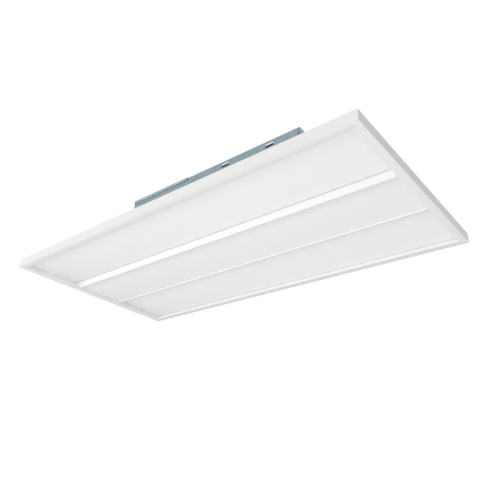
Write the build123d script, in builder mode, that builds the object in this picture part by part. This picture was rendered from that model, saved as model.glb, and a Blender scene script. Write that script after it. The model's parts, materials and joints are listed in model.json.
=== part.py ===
from build123d import *
import os

os.makedirs("parts", exist_ok=True)

# X runs along the luminaire, Y across it and Z up into the ceiling void.
# The origin is the middle of the visible face, which bears on the ceiling grid.

# ---- clearances (mm) ----
seat_gap = 0.3              # between a piece and the seat that carries it
pin_gap = 0.05              # radial, a pin or shank in its hole

# ---- frame rails: mitred aluminium extrusions ----
module_length = 1195.0
module_width = 595.0
rim_height = 26.5
flange_width = 21.5
rail_wall = 1.4
inner_wall_height = 17.0
ledge_width = 12.0
plate_recess = 2.0
rim_softening = 0.5

# ---- corner keys, pressed into the rail channels ----
key_leg = 55.0
key_width = 12.0
key_thickness = 4.0

# ---- back plate ----
plate_thickness = 0.7
hanger_end_inset = 57.5     # hanger holes from the module's ends
hanger_side_inset = 97.5    # and from its long sides
hanger_hole_radius = 3.25

# ---- reflector panels, with depths measured down from the back plate's seat ----
panel_sheet = 0.7
panel_lip = 10.7
wing_outer_drop = 14.5
wing_inner_drop = 8.5
wing_edge_fold = 6.6
centre_panel_drop = 19.5
centre_panel_half_width = 79.3

# ---- light bars: LED carrier extrusions, with depths from the same seat ----
bar_wall = 1.4
bar_inside_width = 13.6
bar_skirt_drop = 15.5
bar_inner_lip = 5.0
bar_outer_lip = 3.0
bar_lip_thickness = 1.2
shelf_drop = 5.1
shelf_thickness = 1.2
snap_rib = 0.8
snap_rib_inner_drop = 11.5
snap_rib_outer_drop = 7.3

# ---- lenses, end caps, boards ----
lens_wall = 1.5
lens_tip_drop = 22.7
lens_tip_width = 1.0
groove_slack = 0.2          # above and below a snap rib
cap_thickness = 1.7
cap_spigot = 4.0
board_thickness = 1.0
board_width = 8.0
board_joint_gap = 2.0
chip_length = 3.5
chip_width = 2.8
chip_height = 0.7
chip_pitch = 20.0
chips_per_board = 28
socket_length = 12.0
socket_width = 5.0
socket_headroom = 0.4       # between a lead socket and the back plate

# ---- gear tray on the back plate ----
tray_end_inset = 146.5      # from the module's right end
tray_length = 528.0
tray_setback = 21.5         # from the near rim
tray_depth = 130.0
tray_sheet = 0.8
tray_height = 41.7
wiring_wall_extra = 2.3     # the wiring compartment's walls stand higher
wiring_length = 196.5
corner_seam = 1.2
seam_hole_radius = 1.9
seam_hole_drop = 16.4       # below the near wall's top
slot_width = 22.0
slot_height = 9.0
slot_drop = 5.8             # wall left above a slot
slot_end_insets = (206.5, 78.8)
partition_foot = 10.0

# ---- cover catches ----
catch_height = 3.9
catch_proud = 0.6
catch_shoulder = 2.0
catch_depth = 3.0
catch_chamfer = 0.4

# ---- hinged covers ----
cover_sheet = 0.8
cover_lip = 8.0
cover_hem = 2.4
cover_back_gap = 0.5        # a cover's flat part ends this far inside the far wall's face
gear_lip = 11.0
hinge_pin_radius = 1.5
hinge_pin_overhang = 3.0
hinge_offset = 3.0          # pin axis behind the tray's far wall
ear_thickness = 1.2
ear_radius = 3.4
ear_drop = 9.0
ear_shoulder = 1.0
wiring_ear_insets = (27.0, 29.5)
gear_ear_insets = (40.5, 41.0)

# ---- driver and terminal block ----
driver_end_inset = 41.0     # from the tray's right end
driver_setback = 58.0       # its middle from the tray's near wall
driver_length = 220.0
driver_width = 52.0
driver_height = 30.0
driver_softening = 1.5
driver_tab = 12.0
driver_tab_inset = 3.0
driver_tab_thickness = 1.0
driver_terminal_length = 8.0
driver_terminal_width = 20.0
driver_terminal_height = 12.0
driver_terminal_offset = 1.0
supply_entry_pitch = 4.0
output_entry_offsets = (4.0, -2.0)
block_end_inset = 77.0      # its middle from the tray's left end
block_setback = 76.0        # its far face from the tray's near wall
block_depth = 26.0
block_height = 16.0
block_softening = 1.0
pole_pitch = 14.0
pole_count = 3
wire_hole_radius = 2.2
wire_hole_depth = 8.0
lever_width = 9.0
lever_length = 15.0
lever_thickness = 2.0
lever_knuckle_radius = 1.8
lever_chamfer = 0.8
block_end_wall = 3.0
earth_end_inset = 147.0
earth_setback = 31.0
washer_radius = 5.0
washer_thickness = 1.0

# ---- leads, with heights above the back plate ----
supply_lead_radius = 1.3
supply_lead_rise = 7.8
supply_bend = 7.8
supply_row_offsets = (20.0, 15.5, 11.0)
supply_turn_insets = (18.0, 22.5, 27.0)
output_lead_radius = 1.7
output_lead_rise = 11.8
output_bend = 10.2
near_lead_inset = 19.0      # from the tray's right end
far_lead_inset = 11.0
low_run_rise = 3.8
descent = (8.0, 32.0)       # start and end of the way down, from the tray's far wall
rise = (34.0, 14.0)         # start and end of the way up, before the light bar
saddle_width = 8.0
saddle_height = 6.5
saddle_softening = 1.5
saddle_end_gaps = (10.0, 4.8)

# ---- bushings and grommets ----
bushing_width = 18.0
bushing_height = 8.0
supply_bushing_width = 17.0
bushing_flange = 1.5
bushing_flange_thickness = 1.5
grommet_wall = 0.9
grommet_flange_radius = 5.0
grommet_flange_height = 1.2

# ---- cable inlet ----
inlet_setback = 65.0        # from the tray's near wall
inlet_rise = 17.8           # above the back plate
inlet_bore_radius = 5.0
inlet_body_radius = 10.0
inlet_flange_radius = 13.0
inlet_inner_flange_radius = 12.0
inlet_softening = 1.2
inlet_length = 8.0

# ---- swing clips that hook over the ceiling grid ----
clip_end_inset = 97.5
clip_pivot_inset = 35.5     # pivot from the long rim
clip_reach = 46.0
clip_width = 14.0
clip_sheet = 1.2
clip_tip_fold = 6.0
clip_shelf_rise = 13.6      # above the back plate
bracket_width = 18.0
bracket_foot = 16.0
bracket_riser_offset = 10.0
clip_rivet_radius = 2.0
clip_rivet_head_radius = 4.0

# ---- fixings ----
screw_radius = 1.6
screw_head_radius = 3.3
screw_head_height = 1.3
screw_length = 5.0
blind_hole_gap = 0.1        # between a screw's tip and the sheet below it
rivet_head_radius = 3.0
rivet_head_height = 0.9
rivet_tail_radius = 2.2
rivet_tail_height = 1.5
rivet_end_inset = 97.5
rivets_per_row = 5
long_screw_insets = (77.5, 422.5)
end_screw_inset = 147.5
tray_screw_end_insets = (22.0, 11.0)
tray_screw_past_wiring = 20.0
tray_screw_side_insets = (16.0, 14.0)

# ---- places worked out from the sizes above ----
half_length = module_length / 2
half_width = module_width / 2
opening_x = half_length - flange_width
opening_y = half_width - flange_width
ledge_z = rim_height - plate_recess
plate_top = ledge_z + plate_thickness
panel_half_length = opening_x - seat_gap
hanger_span_x = module_length - 2 * hanger_end_inset
hanger_span_y = module_width - 2 * hanger_side_inset

wing_outer_z = ledge_z - wing_outer_drop
wing_inner_z = ledge_z - wing_inner_drop
centre_panel_z = ledge_z - centre_panel_drop
bar_skirt_z = ledge_z - bar_skirt_drop
shelf_z = ledge_z - shelf_drop
snap_rib_inner_z = ledge_z - snap_rib_inner_drop
snap_rib_outer_z = ledge_z - snap_rib_outer_drop
lens_tip_z = ledge_z - lens_tip_drop

bar_inner_y = centre_panel_half_width + seat_gap
bar_inside_y = bar_inner_y + bar_wall
bar_inside_end_y = bar_inside_y + bar_inside_width
bar_outer_y = bar_inside_end_y + bar_wall
wing_inner_y = bar_outer_y + seat_gap
wing_outer_y = opening_y - seat_gap
lens_inner_y = bar_inside_y + seat_gap
lens_outer_y = bar_inside_end_y - seat_gap
lens_top_z = shelf_z - seat_gap
cap_x = panel_half_length - cap_thickness
bar_half_length = cap_x - seat_gap
board_y = (bar_inside_y + bar_inside_end_y) / 2
board_length = bar_half_length - board_joint_gap
shelf_top = shelf_z + shelf_thickness
socket_height = ledge_z - shelf_top - socket_headroom
lead_entry_y = (bar_inside_y + bar_inner_lip + bar_inside_end_y - bar_outer_lip) / 2

tray_right_x = half_length - tray_end_inset
tray_left_x = tray_right_x - tray_length
tray_near_y = -half_width + tray_setback
tray_far_y = tray_near_y + tray_depth
tray_floor = plate_top + tray_sheet
tray_top = plate_top + tray_height
wiring_top = tray_top + wiring_wall_extra
wiring_right_x = tray_left_x + wiring_length
partition_x = wiring_right_x - tray_sheet - seat_gap
slot_x = [tray_right_x - inset for inset in slot_end_insets]
slot_bottom_z = tray_top - slot_drop - slot_height
seam_hole_z = tray_top - seam_hole_drop
hinge_y = tray_far_y + hinge_offset
wiring_ear_x = (tray_left_x + wiring_ear_insets[0], wiring_right_x - wiring_ear_insets[1])
gear_ear_x = (wiring_right_x + gear_ear_insets[0], tray_right_x - gear_ear_insets[1])
cover_end_y = tray_far_y - cover_back_gap

driver_right_x = tray_right_x - driver_end_inset
driver_x = driver_right_x - driver_length
driver_y = tray_near_y + driver_setback
input_face_x = driver_x - driver_terminal_length
output_face_x = driver_right_x + driver_terminal_length
supply_entry_y = (driver_y + supply_entry_pitch, driver_y, driver_y - supply_entry_pitch)
output_entry_y = [driver_y + offset for offset in output_entry_offsets]
block_x = tray_left_x + block_end_inset
block_far_y = tray_near_y + block_setback
earth_x = tray_left_x + earth_end_inset
earth_y = tray_near_y + earth_setback

supply_lead_z = plate_top + supply_lead_rise
output_lead_z = plate_top + output_lead_rise
low_run_z = plate_top + low_run_rise
near_lead_x = tray_right_x - near_lead_inset
far_lead_x = tray_right_x - far_lead_inset
supply_rows = [block_far_y + offset for offset in supply_row_offsets]
supply_turn_x = [input_face_x - inset for inset in supply_turn_insets]
descent_start_y = tray_far_y + descent[0]
descent_end_y = tray_far_y + descent[1]
rise_start_y = lead_entry_y - rise[0]
rise_end_y = lead_entry_y - rise[1]
first_saddle_y = descent_end_y + saddle_end_gaps[0]
last_saddle_y = rise_start_y - saddle_end_gaps[1]
saddle_y = (first_saddle_y, (first_saddle_y + last_saddle_y) / 2, last_saddle_y)
inlet_y = tray_near_y + inlet_setback
inlet_z = plate_top + inlet_rise

clip_x = half_length - clip_end_inset
clip_pivot_y = half_width - clip_pivot_inset
clip_shelf_z = plate_top + clip_shelf_rise
bracket_foot_y = clip_pivot_y - bracket_riser_offset - bracket_foot / 2
clip_places = [(sx * clip_x, sy) for sy in (-1, 1) for sx in (-1, 1)]

screw_y = half_width - rail_wall - ledge_width / 2
screw_end_x = half_length - rail_wall - ledge_width / 2
long_screw_x = [side * (half_length - inset) for inset in long_screw_insets for side in (-1, 1)]
end_screw_y = [side * (half_width - end_screw_inset) for side in (-1, 1)]
near_screws = [(x, -screw_y) for x in long_screw_x]
far_screws = [(x, screw_y) for x in long_screw_x]
left_screws = [(-screw_end_x, y) for y in end_screw_y]
right_screws = [(screw_end_x, y) for y in end_screw_y]
plate_screw_places = near_screws + far_screws + left_screws + right_screws
tray_screw_x = (
    tray_left_x + tray_screw_end_insets[0],
    wiring_right_x + tray_screw_past_wiring,
    tray_right_x - tray_screw_end_insets[1],
)
tray_screw_y = (tray_near_y + tray_screw_side_insets[0], tray_far_y - tray_screw_side_insets[1])
tray_screw_places = [(x, y) for x in tray_screw_x for y in tray_screw_y]
rivet_step = 2 * (half_length - rivet_end_inset) / (rivets_per_row - 1)
rivet_x = [(index - (rivets_per_row - 1) / 2) * rivet_step for index in range(rivets_per_row)]
lip_rows = (
    (centre_panel_half_width - panel_lip / 2, panel_sheet),
    (bar_inside_y + bar_inner_lip / 2, bar_lip_thickness),
    (wing_inner_y + panel_lip / 2, panel_sheet),
)
rivet_places = [
    (x, side * row_y, lip) for row_y, lip in lip_rows for side in (-1, 1) for x in rivet_x
]


# ---- shared shapes ----
def block(x0, x1, y0, y1, z0, z1, mode=Mode.ADD):
    """A rectangular block between two limits along each axis."""
    with Locations(((x0 + x1) / 2, (y0 + y1) / 2, (z0 + z1) / 2)):
        Box(x1 - x0, y1 - y0, z1 - z0, mode=mode)


def upright(x, y, z0, z1, radius, mode=Mode.ADD):
    """A round bar or hole along Z."""
    with Locations((x, y, (z0 + z1) / 2)):
        Cylinder(radius, z1 - z0, mode=mode)


def lengthwise(x0, x1, y, z, radius, mode=Mode.ADD):
    """A round bar or hole along X."""
    with Locations(((x0 + x1) / 2, y, z)):
        Cylinder(radius, x1 - x0, rotation=(0, 90, 0), mode=mode)


def crosswise(x, y0, y1, z, radius, mode=Mode.ADD):
    """A round bar or hole along Y."""
    with Locations((x, (y0 + y1) / 2, z)):
        Cylinder(radius, y1 - y0, rotation=(90, 0, 0), mode=mode)


def folded(points, thickness):
    """Section of a folded sheet: the points run along one face, the metal is on their left."""
    with BuildSketch() as section:
        with BuildLine():
            face_line = Polyline(*points)
            offset(face_line, amount=thickness, side=Side.LEFT)
        make_face()
    return section.sketch


def screw(x, y, seat_z, length=screw_length):
    """A pan-head screw seated at seat_z and pointing down."""
    upright(x, y, seat_z, seat_z + screw_head_height, screw_head_radius)
    upright(x, y, seat_z - length, seat_z, screw_radius)


def lead(points, radius, bend):
    """A round lead along straight runs joined by tangent arcs."""
    with BuildPart() as run:
        with BuildLine() as route:
            FilletPolyline(*points, radius=bend)
        start = route.line
        with BuildSketch(Plane(origin=start @ 0, z_dir=start % 0)):
            Circle(radius)
        sweep(path=start)
    return run.part


# ---- frame rails ----
def rail(outward, half_run, half_across, screws):
    """One mitred rail: flange, outer wall, inner wall and the ledge for the back plate."""
    out = Vector(*outward)
    run = out.cross(Vector(0, 0, 1))
    outer = half_across
    inner = half_across - flange_width
    section_points = (
        (outer, 0),
        (outer, rim_height),
        (outer - rail_wall, rim_height),
        (outer - rail_wall, ledge_z),
        (outer - rail_wall - ledge_width, ledge_z),
        (outer - rail_wall - ledge_width, ledge_z - rail_wall),
        (outer - rail_wall, ledge_z - rail_wall),
        (outer - rail_wall, rail_wall),
        (inner + rail_wall, rail_wall),
        (inner + rail_wall, inner_wall_height),
        (inner, inner_wall_height),
        (inner, 0),
    )
    with BuildPart() as bar:
        with BuildSketch(Plane(origin=(0, 0, 0), x_dir=out, z_dir=run)) as section:
            with BuildLine():
                Polyline(*section_points, close=True)
            make_face()
            visible_corners = section.vertices().group_by(Axis.Y)[0]
            fillet(visible_corners, radius=rim_softening)
        extrude(amount=half_run, both=True)
        for end in (1, -1):
            corner = out * half_across + run * (end * half_run)
            mitre = Plane(origin=corner, z_dir=run * end - out)
            split(bisect_by=mitre, keep=Keep.BOTTOM)
        for x, y in screws:
            upright(x, y, ledge_z - 2 * rail_wall, rim_height, screw_radius + pin_gap, Mode.SUBTRACT)
    return bar


rail_near = rail((0, -1, 0), half_length, half_width, near_screws)
rail_near.part.label = "rail_near"
export_step(rail_near.part, "parts/rail_near.step")

rail_far = rail((0, 1, 0), half_length, half_width, far_screws)
rail_far.part.label = "rail_far"
export_step(rail_far.part, "parts/rail_far.step")

rail_left = rail((-1, 0, 0), half_width, half_length, left_screws)
rail_left.part.label = "rail_left"
export_step(rail_left.part, "parts/rail_left.step")

rail_right = rail((1, 0, 0), half_width, half_length, right_screws)
rail_right.part.label = "rail_right"
export_step(rail_right.part, "parts/rail_right.step")

# An L of flat bar lies in each corner's channel, against the outer walls.
with BuildPart() as corner_keys:
    for side_x in (-1, 1):
        for side_y in (-1, 1):
            key_x = side_x * (half_length - rail_wall - seat_gap)
            key_y = side_y * (half_width - rail_wall - seat_gap)
            with BuildSketch(Plane.XY.offset(rail_wall)):
                with BuildLine():
                    Polyline(
                        (key_x, key_y),
                        (key_x - side_x * key_leg, key_y),
                        (key_x - side_x * key_leg, key_y - side_y * key_width),
                        (key_x - side_x * key_width, key_y - side_y * key_width),
                        (key_x - side_x * key_width, key_y - side_y * key_leg),
                        (key_x, key_y - side_y * key_leg),
                        close=True,
                    )
                make_face()
            extrude(amount=key_thickness)
corner_keys.part.label = "corner_keys"
export_step(corner_keys.part, "parts/corner_keys.step")

# ---- back plate, laid on the ledges ----
plate_edge = rail_wall + seat_gap
grommet_spigot_radius = output_lead_radius + grommet_wall
lead_entries = ((near_lead_x, -lead_entry_y), (far_lead_x, lead_entry_y))
with BuildPart() as back_plate:
    block(
        plate_edge - half_length,
        half_length - plate_edge,
        plate_edge - half_width,
        half_width - plate_edge,
        ledge_z,
        plate_top,
    )
    for x, y in plate_screw_places + tray_screw_places:
        upright(x, y, ledge_z, plate_top, screw_radius + pin_gap, Mode.SUBTRACT)
    for x, y, lip in rivet_places:
        upright(x, y, ledge_z, plate_top, screw_radius + pin_gap, Mode.SUBTRACT)
    for x, side in clip_places:
        upright(x, side * bracket_foot_y, ledge_z, plate_top, screw_radius + pin_gap, Mode.SUBTRACT)
    for x, y in lead_entries:
        upright(x, y, ledge_z, plate_top, grommet_spigot_radius + pin_gap, Mode.SUBTRACT)
    with Locations((0, 0, plate_top)):
        with GridLocations(hanger_span_x, hanger_span_y, 2, 2):
            Hole(hanger_hole_radius)
back_plate.part.label = "back_plate"
export_step(back_plate.part, "parts/back_plate.step")

with BuildPart() as plate_screws:
    for x, y in plate_screw_places:
        screw(x, y, plate_top)
plate_screws.part.label = "plate_screws"
export_step(plate_screws.part, "parts/plate_screws.step")

# ---- reflector panels ----
wing_section = folded(
    (
        (wing_inner_y + panel_lip, ledge_z),
        (wing_inner_y, ledge_z),
        (wing_inner_y, wing_inner_z),
        (wing_outer_y, wing_outer_z),
        (wing_outer_y, wing_outer_z + wing_edge_fold),
    ),
    panel_sheet,
)
with BuildPart() as wing_far:
    with BuildSketch(Plane.YZ):
        add(wing_section)
    extrude(amount=panel_half_length, both=True)
    for x, y, lip in rivet_places:
        if y > wing_inner_y:
            upright(x, y, ledge_z - 2 * lip, ledge_z, screw_radius + pin_gap, Mode.SUBTRACT)
wing_far.part.label = "wing_far"
export_step(wing_far.part, "parts/wing_far.step")

with BuildPart() as wing_near:
    mirror(wing_far.part, about=Plane.XZ)
wing_near.part.label = "wing_near"
export_step(wing_near.part, "parts/wing_near.step")

panel_section = folded(
    (
        (panel_lip - centre_panel_half_width, ledge_z),
        (-centre_panel_half_width, ledge_z),
        (-centre_panel_half_width, centre_panel_z),
        (centre_panel_half_width, centre_panel_z),
        (centre_panel_half_width, ledge_z),
        (centre_panel_half_width - panel_lip, ledge_z),
    ),
    panel_sheet,
)
with BuildPart() as centre_panel:
    with BuildSketch(Plane.YZ):
        add(panel_section)
    extrude(amount=panel_half_length, both=True)
    for x, y, lip in rivet_places:
        if abs(y) < centre_panel_half_width:
            upright(x, y, ledge_z - 2 * lip, ledge_z, screw_radius + pin_gap, Mode.SUBTRACT)
centre_panel.part.label = "centre_panel"
export_step(centre_panel.part, "parts/centre_panel.step")

# ---- LED carriers ----
with BuildPart() as carrier_far:
    length_limits = (-bar_half_length, bar_half_length)
    block(*length_limits, bar_inner_y, bar_inside_y, bar_skirt_z, ledge_z)
    block(*length_limits, bar_inside_end_y, bar_outer_y, wing_inner_z + seat_gap, ledge_z)
    block(*length_limits, bar_inside_y, bar_inside_end_y, shelf_z, shelf_top)
    lip_bottom = ledge_z - bar_lip_thickness
    block(*length_limits, bar_inside_y, bar_inside_y + bar_inner_lip, lip_bottom, ledge_z)
    block(*length_limits, bar_inside_end_y - bar_outer_lip, bar_inside_end_y, lip_bottom, ledge_z)
    rib_top = snap_rib_inner_z + snap_rib
    block(*length_limits, bar_inside_y, bar_inside_y + snap_rib, snap_rib_inner_z, rib_top)
    rib_top = snap_rib_outer_z + snap_rib
    block(*length_limits, bar_inside_end_y - snap_rib, bar_inside_end_y, snap_rib_outer_z, rib_top)
    for x, y, lip in rivet_places:
        if bar_inner_y < y < bar_outer_y:
            upright(x, y, lip_bottom, ledge_z, screw_radius + pin_gap, Mode.SUBTRACT)
carrier_far.part.label = "carrier_far"
export_step(carrier_far.part, "parts/carrier_far.step")

with BuildPart() as carrier_near:
    mirror(carrier_far.part, about=Plane.XZ)
carrier_near.part.label = "carrier_near"
export_step(carrier_near.part, "parts/carrier_near.step")

# ---- lenses: a V of opal acrylic, one upright leg and one sloping leg ----
lens_outline = (
    (lens_inner_y, lens_tip_z),
    (lens_inner_y + lens_tip_width, lens_tip_z),
    (lens_outer_y, wing_inner_z),
    (lens_outer_y, lens_top_z),
)
slope_start = Vector(lens_inner_y + lens_tip_width, lens_tip_z)
slope = (Vector(lens_outer_y, wing_inner_z) - slope_start).normalized()
inner_start = slope_start + Vector(-slope.Y, slope.X) * lens_wall
leg_face_y = lens_inner_y + lens_wall
foot_face_y = lens_outer_y - lens_wall
leg_corner_z = inner_start.Y + (leg_face_y - inner_start.X) * slope.Y / slope.X
foot_corner_z = inner_start.Y + (foot_face_y - inner_start.X) * slope.Y / slope.X
with BuildPart() as lens_far:
    with BuildSketch(Plane.YZ):
        with BuildLine():
            Polyline(
                *lens_outline,
                (foot_face_y, lens_top_z),
                (foot_face_y, foot_corner_z),
                (leg_face_y, leg_corner_z),
                (leg_face_y, lens_top_z),
                (lens_inner_y, lens_top_z),
                close=True,
            )
        make_face()
    extrude(amount=bar_half_length, both=True)
    block(
        -bar_half_length,
        bar_half_length,
        lens_inner_y,
        lens_inner_y + snap_rib,
        snap_rib_inner_z - groove_slack,
        snap_rib_inner_z + snap_rib + groove_slack,
        Mode.SUBTRACT,
    )
    block(
        -bar_half_length,
        bar_half_length,
        lens_outer_y - snap_rib,
        lens_outer_y,
        snap_rib_outer_z - groove_slack,
        snap_rib_outer_z + snap_rib + groove_slack,
        Mode.SUBTRACT,
    )
lens_far.part.label = "lens_far"
export_step(lens_far.part, "parts/lens_far.step")

with BuildPart() as lens_near:
    mirror(lens_far.part, about=Plane.XZ)
lens_near.part.label = "lens_near"
export_step(lens_near.part, "parts/lens_near.step")

with BuildPart() as bar_end_caps:
    for side_x in (-1, 1):
        with BuildSketch(Plane.YZ.offset(side_x * cap_x)):
            with BuildLine():
                Polyline(*lens_outline, (lens_outer_y, ledge_z), (lens_inner_y, ledge_z), close=True)
            make_face()
        extrude(amount=side_x * cap_thickness)
        spigot_end = side_x * (cap_x - cap_spigot)
        block(
            min(spigot_end, side_x * cap_x),
            max(spigot_end, side_x * cap_x),
            board_y - board_width / 2,
            board_y + board_width / 2,
            shelf_top + seat_gap / 2,
            ledge_z - bar_lip_thickness - seat_gap / 2,
        )
    mirror(about=Plane.XZ)
bar_end_caps.part.label = "bar_end_caps"
export_step(bar_end_caps.part, "parts/bar_end_caps.step")

# ---- LED boards, chips and lead sockets ----
with BuildPart() as led_boards:
    board_centre_x = (board_joint_gap + board_length) / 2
    for side_x in (-1, 1):
        for side_y in (-1, 1):
            with Locations((side_x * board_centre_x, side_y * board_y, shelf_z - board_thickness / 2)):
                Box(board_length - board_joint_gap / 2, board_width, board_thickness)
led_boards.part.label = "led_boards"
export_step(led_boards.part, "parts/led_boards.step")

chip_z = shelf_z - board_thickness - chip_height / 2
for side_name, side_y in (("near", -1), ("far", 1)):
    with BuildPart() as led_chips:
        with Locations((-board_centre_x, side_y * board_y, chip_z), (board_centre_x, side_y * board_y, chip_z)):
            with GridLocations(chip_pitch, 1, chips_per_board, 1):
                Box(chip_length, chip_width, chip_height)
    led_chips.part.label = f"led_chips_{side_name}"
    export_step(led_chips.part, f"parts/led_chips_{side_name}.step")

with BuildPart() as lead_sockets:
    for x, y in lead_entries:
        block(
            x - socket_length / 2,
            x + socket_length / 2,
            y - socket_width / 2,
            y + socket_width / 2,
            shelf_top,
            shelf_top + socket_height,
        )
lead_sockets.part.label = "lead_sockets"
export_step(lead_sockets.part, "parts/lead_sockets.step")

# ---- blind rivets through the plate and the lips below it ----
with BuildPart() as panel_rivets:
    for x, y, lip in rivet_places:
        upright(x, y, plate_top, plate_top + rivet_head_height, rivet_head_radius)
        upright(x, y, ledge_z - lip, plate_top, screw_radius)
        upright(x, y, ledge_z - lip - rivet_tail_height, ledge_z - lip, rivet_tail_radius)
panel_rivets.part.label = "panel_rivets"
export_step(panel_rivets.part, "parts/panel_rivets.step")


# ---- gear tray ----
def hinge_z(wall_top):
    """Height of a cover's pin, so that its curl is level with the cover's top face."""
    curl_radius = hinge_pin_radius + pin_gap + cover_sheet
    return wall_top + seat_gap + cover_sheet - curl_radius


wiring_hinge_z = hinge_z(wiring_top)
gear_hinge_z = hinge_z(tray_top)
bushing_x = (near_lead_x + far_lead_x) / 2
with BuildPart() as gear_tray:
    block(tray_left_x, tray_right_x, tray_near_y, tray_far_y, plate_top, tray_floor)
    wall_start = tray_left_x + tray_sheet + corner_seam
    wall_end = tray_right_x - tray_sheet - corner_seam
    near_face = tray_near_y + tray_sheet
    far_face = tray_far_y - tray_sheet
    # near and far walls, higher over the wiring compartment
    for y0, y1 in ((tray_near_y, near_face), (far_face, tray_far_y)):
        block(wall_start, wall_end, y0, y1, tray_floor, tray_top)
        block(wall_start, wiring_right_x, y0, y1, tray_top, wiring_top)
    # end walls
    block(tray_left_x, tray_left_x + tray_sheet, tray_near_y, tray_far_y, tray_floor, wiring_top)
    block(tray_right_x - tray_sheet, tray_right_x, tray_near_y, tray_far_y, tray_floor, tray_top)
    # catch slots
    for x in slot_x:
        slot_limits = (x - slot_width / 2, x + slot_width / 2)
        block(*slot_limits, tray_near_y, near_face, slot_bottom_z, slot_bottom_z + slot_height, Mode.SUBTRACT)
    # a hole part way up the open corner seam
    crosswise(wall_end, tray_near_y, near_face, seam_hole_z, seam_hole_radius, Mode.SUBTRACT)
    # way out for the output leads, and the cable inlet
    half_bushing = bushing_width / 2
    block(
        bushing_x - half_bushing,
        bushing_x + half_bushing,
        far_face,
        tray_far_y,
        output_lead_z - bushing_height / 2,
        output_lead_z + bushing_height / 2,
        Mode.SUBTRACT,
    )
    lengthwise(
        tray_left_x,
        tray_left_x + tray_sheet,
        inlet_y,
        inlet_z,
        inlet_body_radius + pin_gap,
        Mode.SUBTRACT,
    )
    # hinge ears folded out of the far wall
    for ear_places, axis_z in ((wiring_ear_x, wiring_hinge_z), (gear_ear_x, gear_hinge_z)):
        for x in ear_places:
            ear = (x - ear_thickness / 2, x + ear_thickness / 2)
            lengthwise(*ear, hinge_y, axis_z, ear_radius)
            block(*ear, tray_far_y, hinge_y, axis_z - ear_drop, axis_z + ear_shoulder)
            block(*ear, tray_far_y, hinge_y + ear_radius, axis_z - ear_radius, axis_z)
            lengthwise(*ear, hinge_y, axis_z, hinge_pin_radius + pin_gap, Mode.SUBTRACT)
    for x, y in tray_screw_places:
        upright(x, y, plate_top, tray_floor, screw_radius + pin_gap, Mode.SUBTRACT)
gear_tray.part.label = "gear_tray"
export_step(gear_tray.part, "parts/gear_tray.step")

with BuildPart() as tray_screws:
    for x, y in tray_screw_places:
        screw(x, y, tray_floor)
tray_screws.part.label = "tray_screws"
export_step(tray_screws.part, "parts/tray_screws.step")

# ---- partition between the wiring compartment and the driver ----
supply_bushing_y = supply_rows[1]
with BuildPart() as partition:
    wall = (partition_x, partition_x + tray_sheet)
    reach = (near_face + seat_gap, far_face - seat_gap)
    block(*wall, *reach, tray_floor, wiring_top)
    block(partition_x - partition_foot, partition_x, *reach, tray_floor, tray_floor + tray_sheet)
    block(
        *wall,
        supply_bushing_y - supply_bushing_width / 2,
        supply_bushing_y + supply_bushing_width / 2,
        supply_lead_z - bushing_height / 2,
        supply_lead_z + bushing_height / 2,
        Mode.SUBTRACT,
    )
partition.part.label = "partition"
export_step(partition.part, "parts/partition.step")

# ---- bushings in the partition, the far wall and the back plate ----
with BuildPart() as lead_bushings:
    # through the partition
    half_width_y = supply_bushing_width / 2 - pin_gap
    half_height = bushing_height / 2 - pin_gap
    far_end = partition_x + tray_sheet
    block(
        partition_x - bushing_flange_thickness,
        partition_x,
        supply_bushing_y - half_width_y - bushing_flange,
        supply_bushing_y + half_width_y + bushing_flange,
        supply_lead_z - half_height - bushing_flange,
        supply_lead_z + half_height + bushing_flange,
    )
    block(
        partition_x,
        far_end + bushing_flange_thickness,
        supply_bushing_y - half_width_y,
        supply_bushing_y + half_width_y,
        supply_lead_z - half_height,
        supply_lead_z + half_height,
    )
    for row in supply_rows:
        lengthwise(
            partition_x - bushing_flange_thickness,
            far_end + bushing_flange_thickness,
            row,
            supply_lead_z,
            supply_lead_radius + pin_gap,
            Mode.SUBTRACT,
        )
    # through the tray's far wall
    half_width_x = bushing_width / 2 - pin_gap
    block(
        bushing_x - half_width_x - bushing_flange,
        bushing_x + half_width_x + bushing_flange,
        tray_far_y,
        tray_far_y + bushing_flange_thickness,
        output_lead_z - half_height - bushing_flange,
        output_lead_z + half_height + bushing_flange,
    )
    block(
        bushing_x - half_width_x,
        bushing_x + half_width_x,
        far_face - bushing_flange_thickness,
        tray_far_y,
        output_lead_z - half_height,
        output_lead_z + half_height,
    )
    for x in (near_lead_x, far_lead_x):
        crosswise(
            x,
            far_face - bushing_flange_thickness,
            tray_far_y + bushing_flange_thickness,
            output_lead_z,
            output_lead_radius + pin_gap,
            Mode.SUBTRACT,
        )
lead_bushings.part.label = "lead_bushings"
export_step(lead_bushings.part, "parts/lead_bushings.step")

with BuildPart() as plate_grommets:
    for x, y in lead_entries:
        upright(x, y, plate_top, plate_top + grommet_flange_height, grommet_flange_radius)
        upright(x, y, ledge_z, plate_top, grommet_spigot_radius)
        bore_limits = (ledge_z, plate_top + grommet_flange_height)
        upright(x, y, *bore_limits, output_lead_radius + pin_gap, Mode.SUBTRACT)
plate_grommets.part.label = "plate_grommets"
export_step(plate_grommets.part, "parts/plate_grommets.step")

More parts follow.
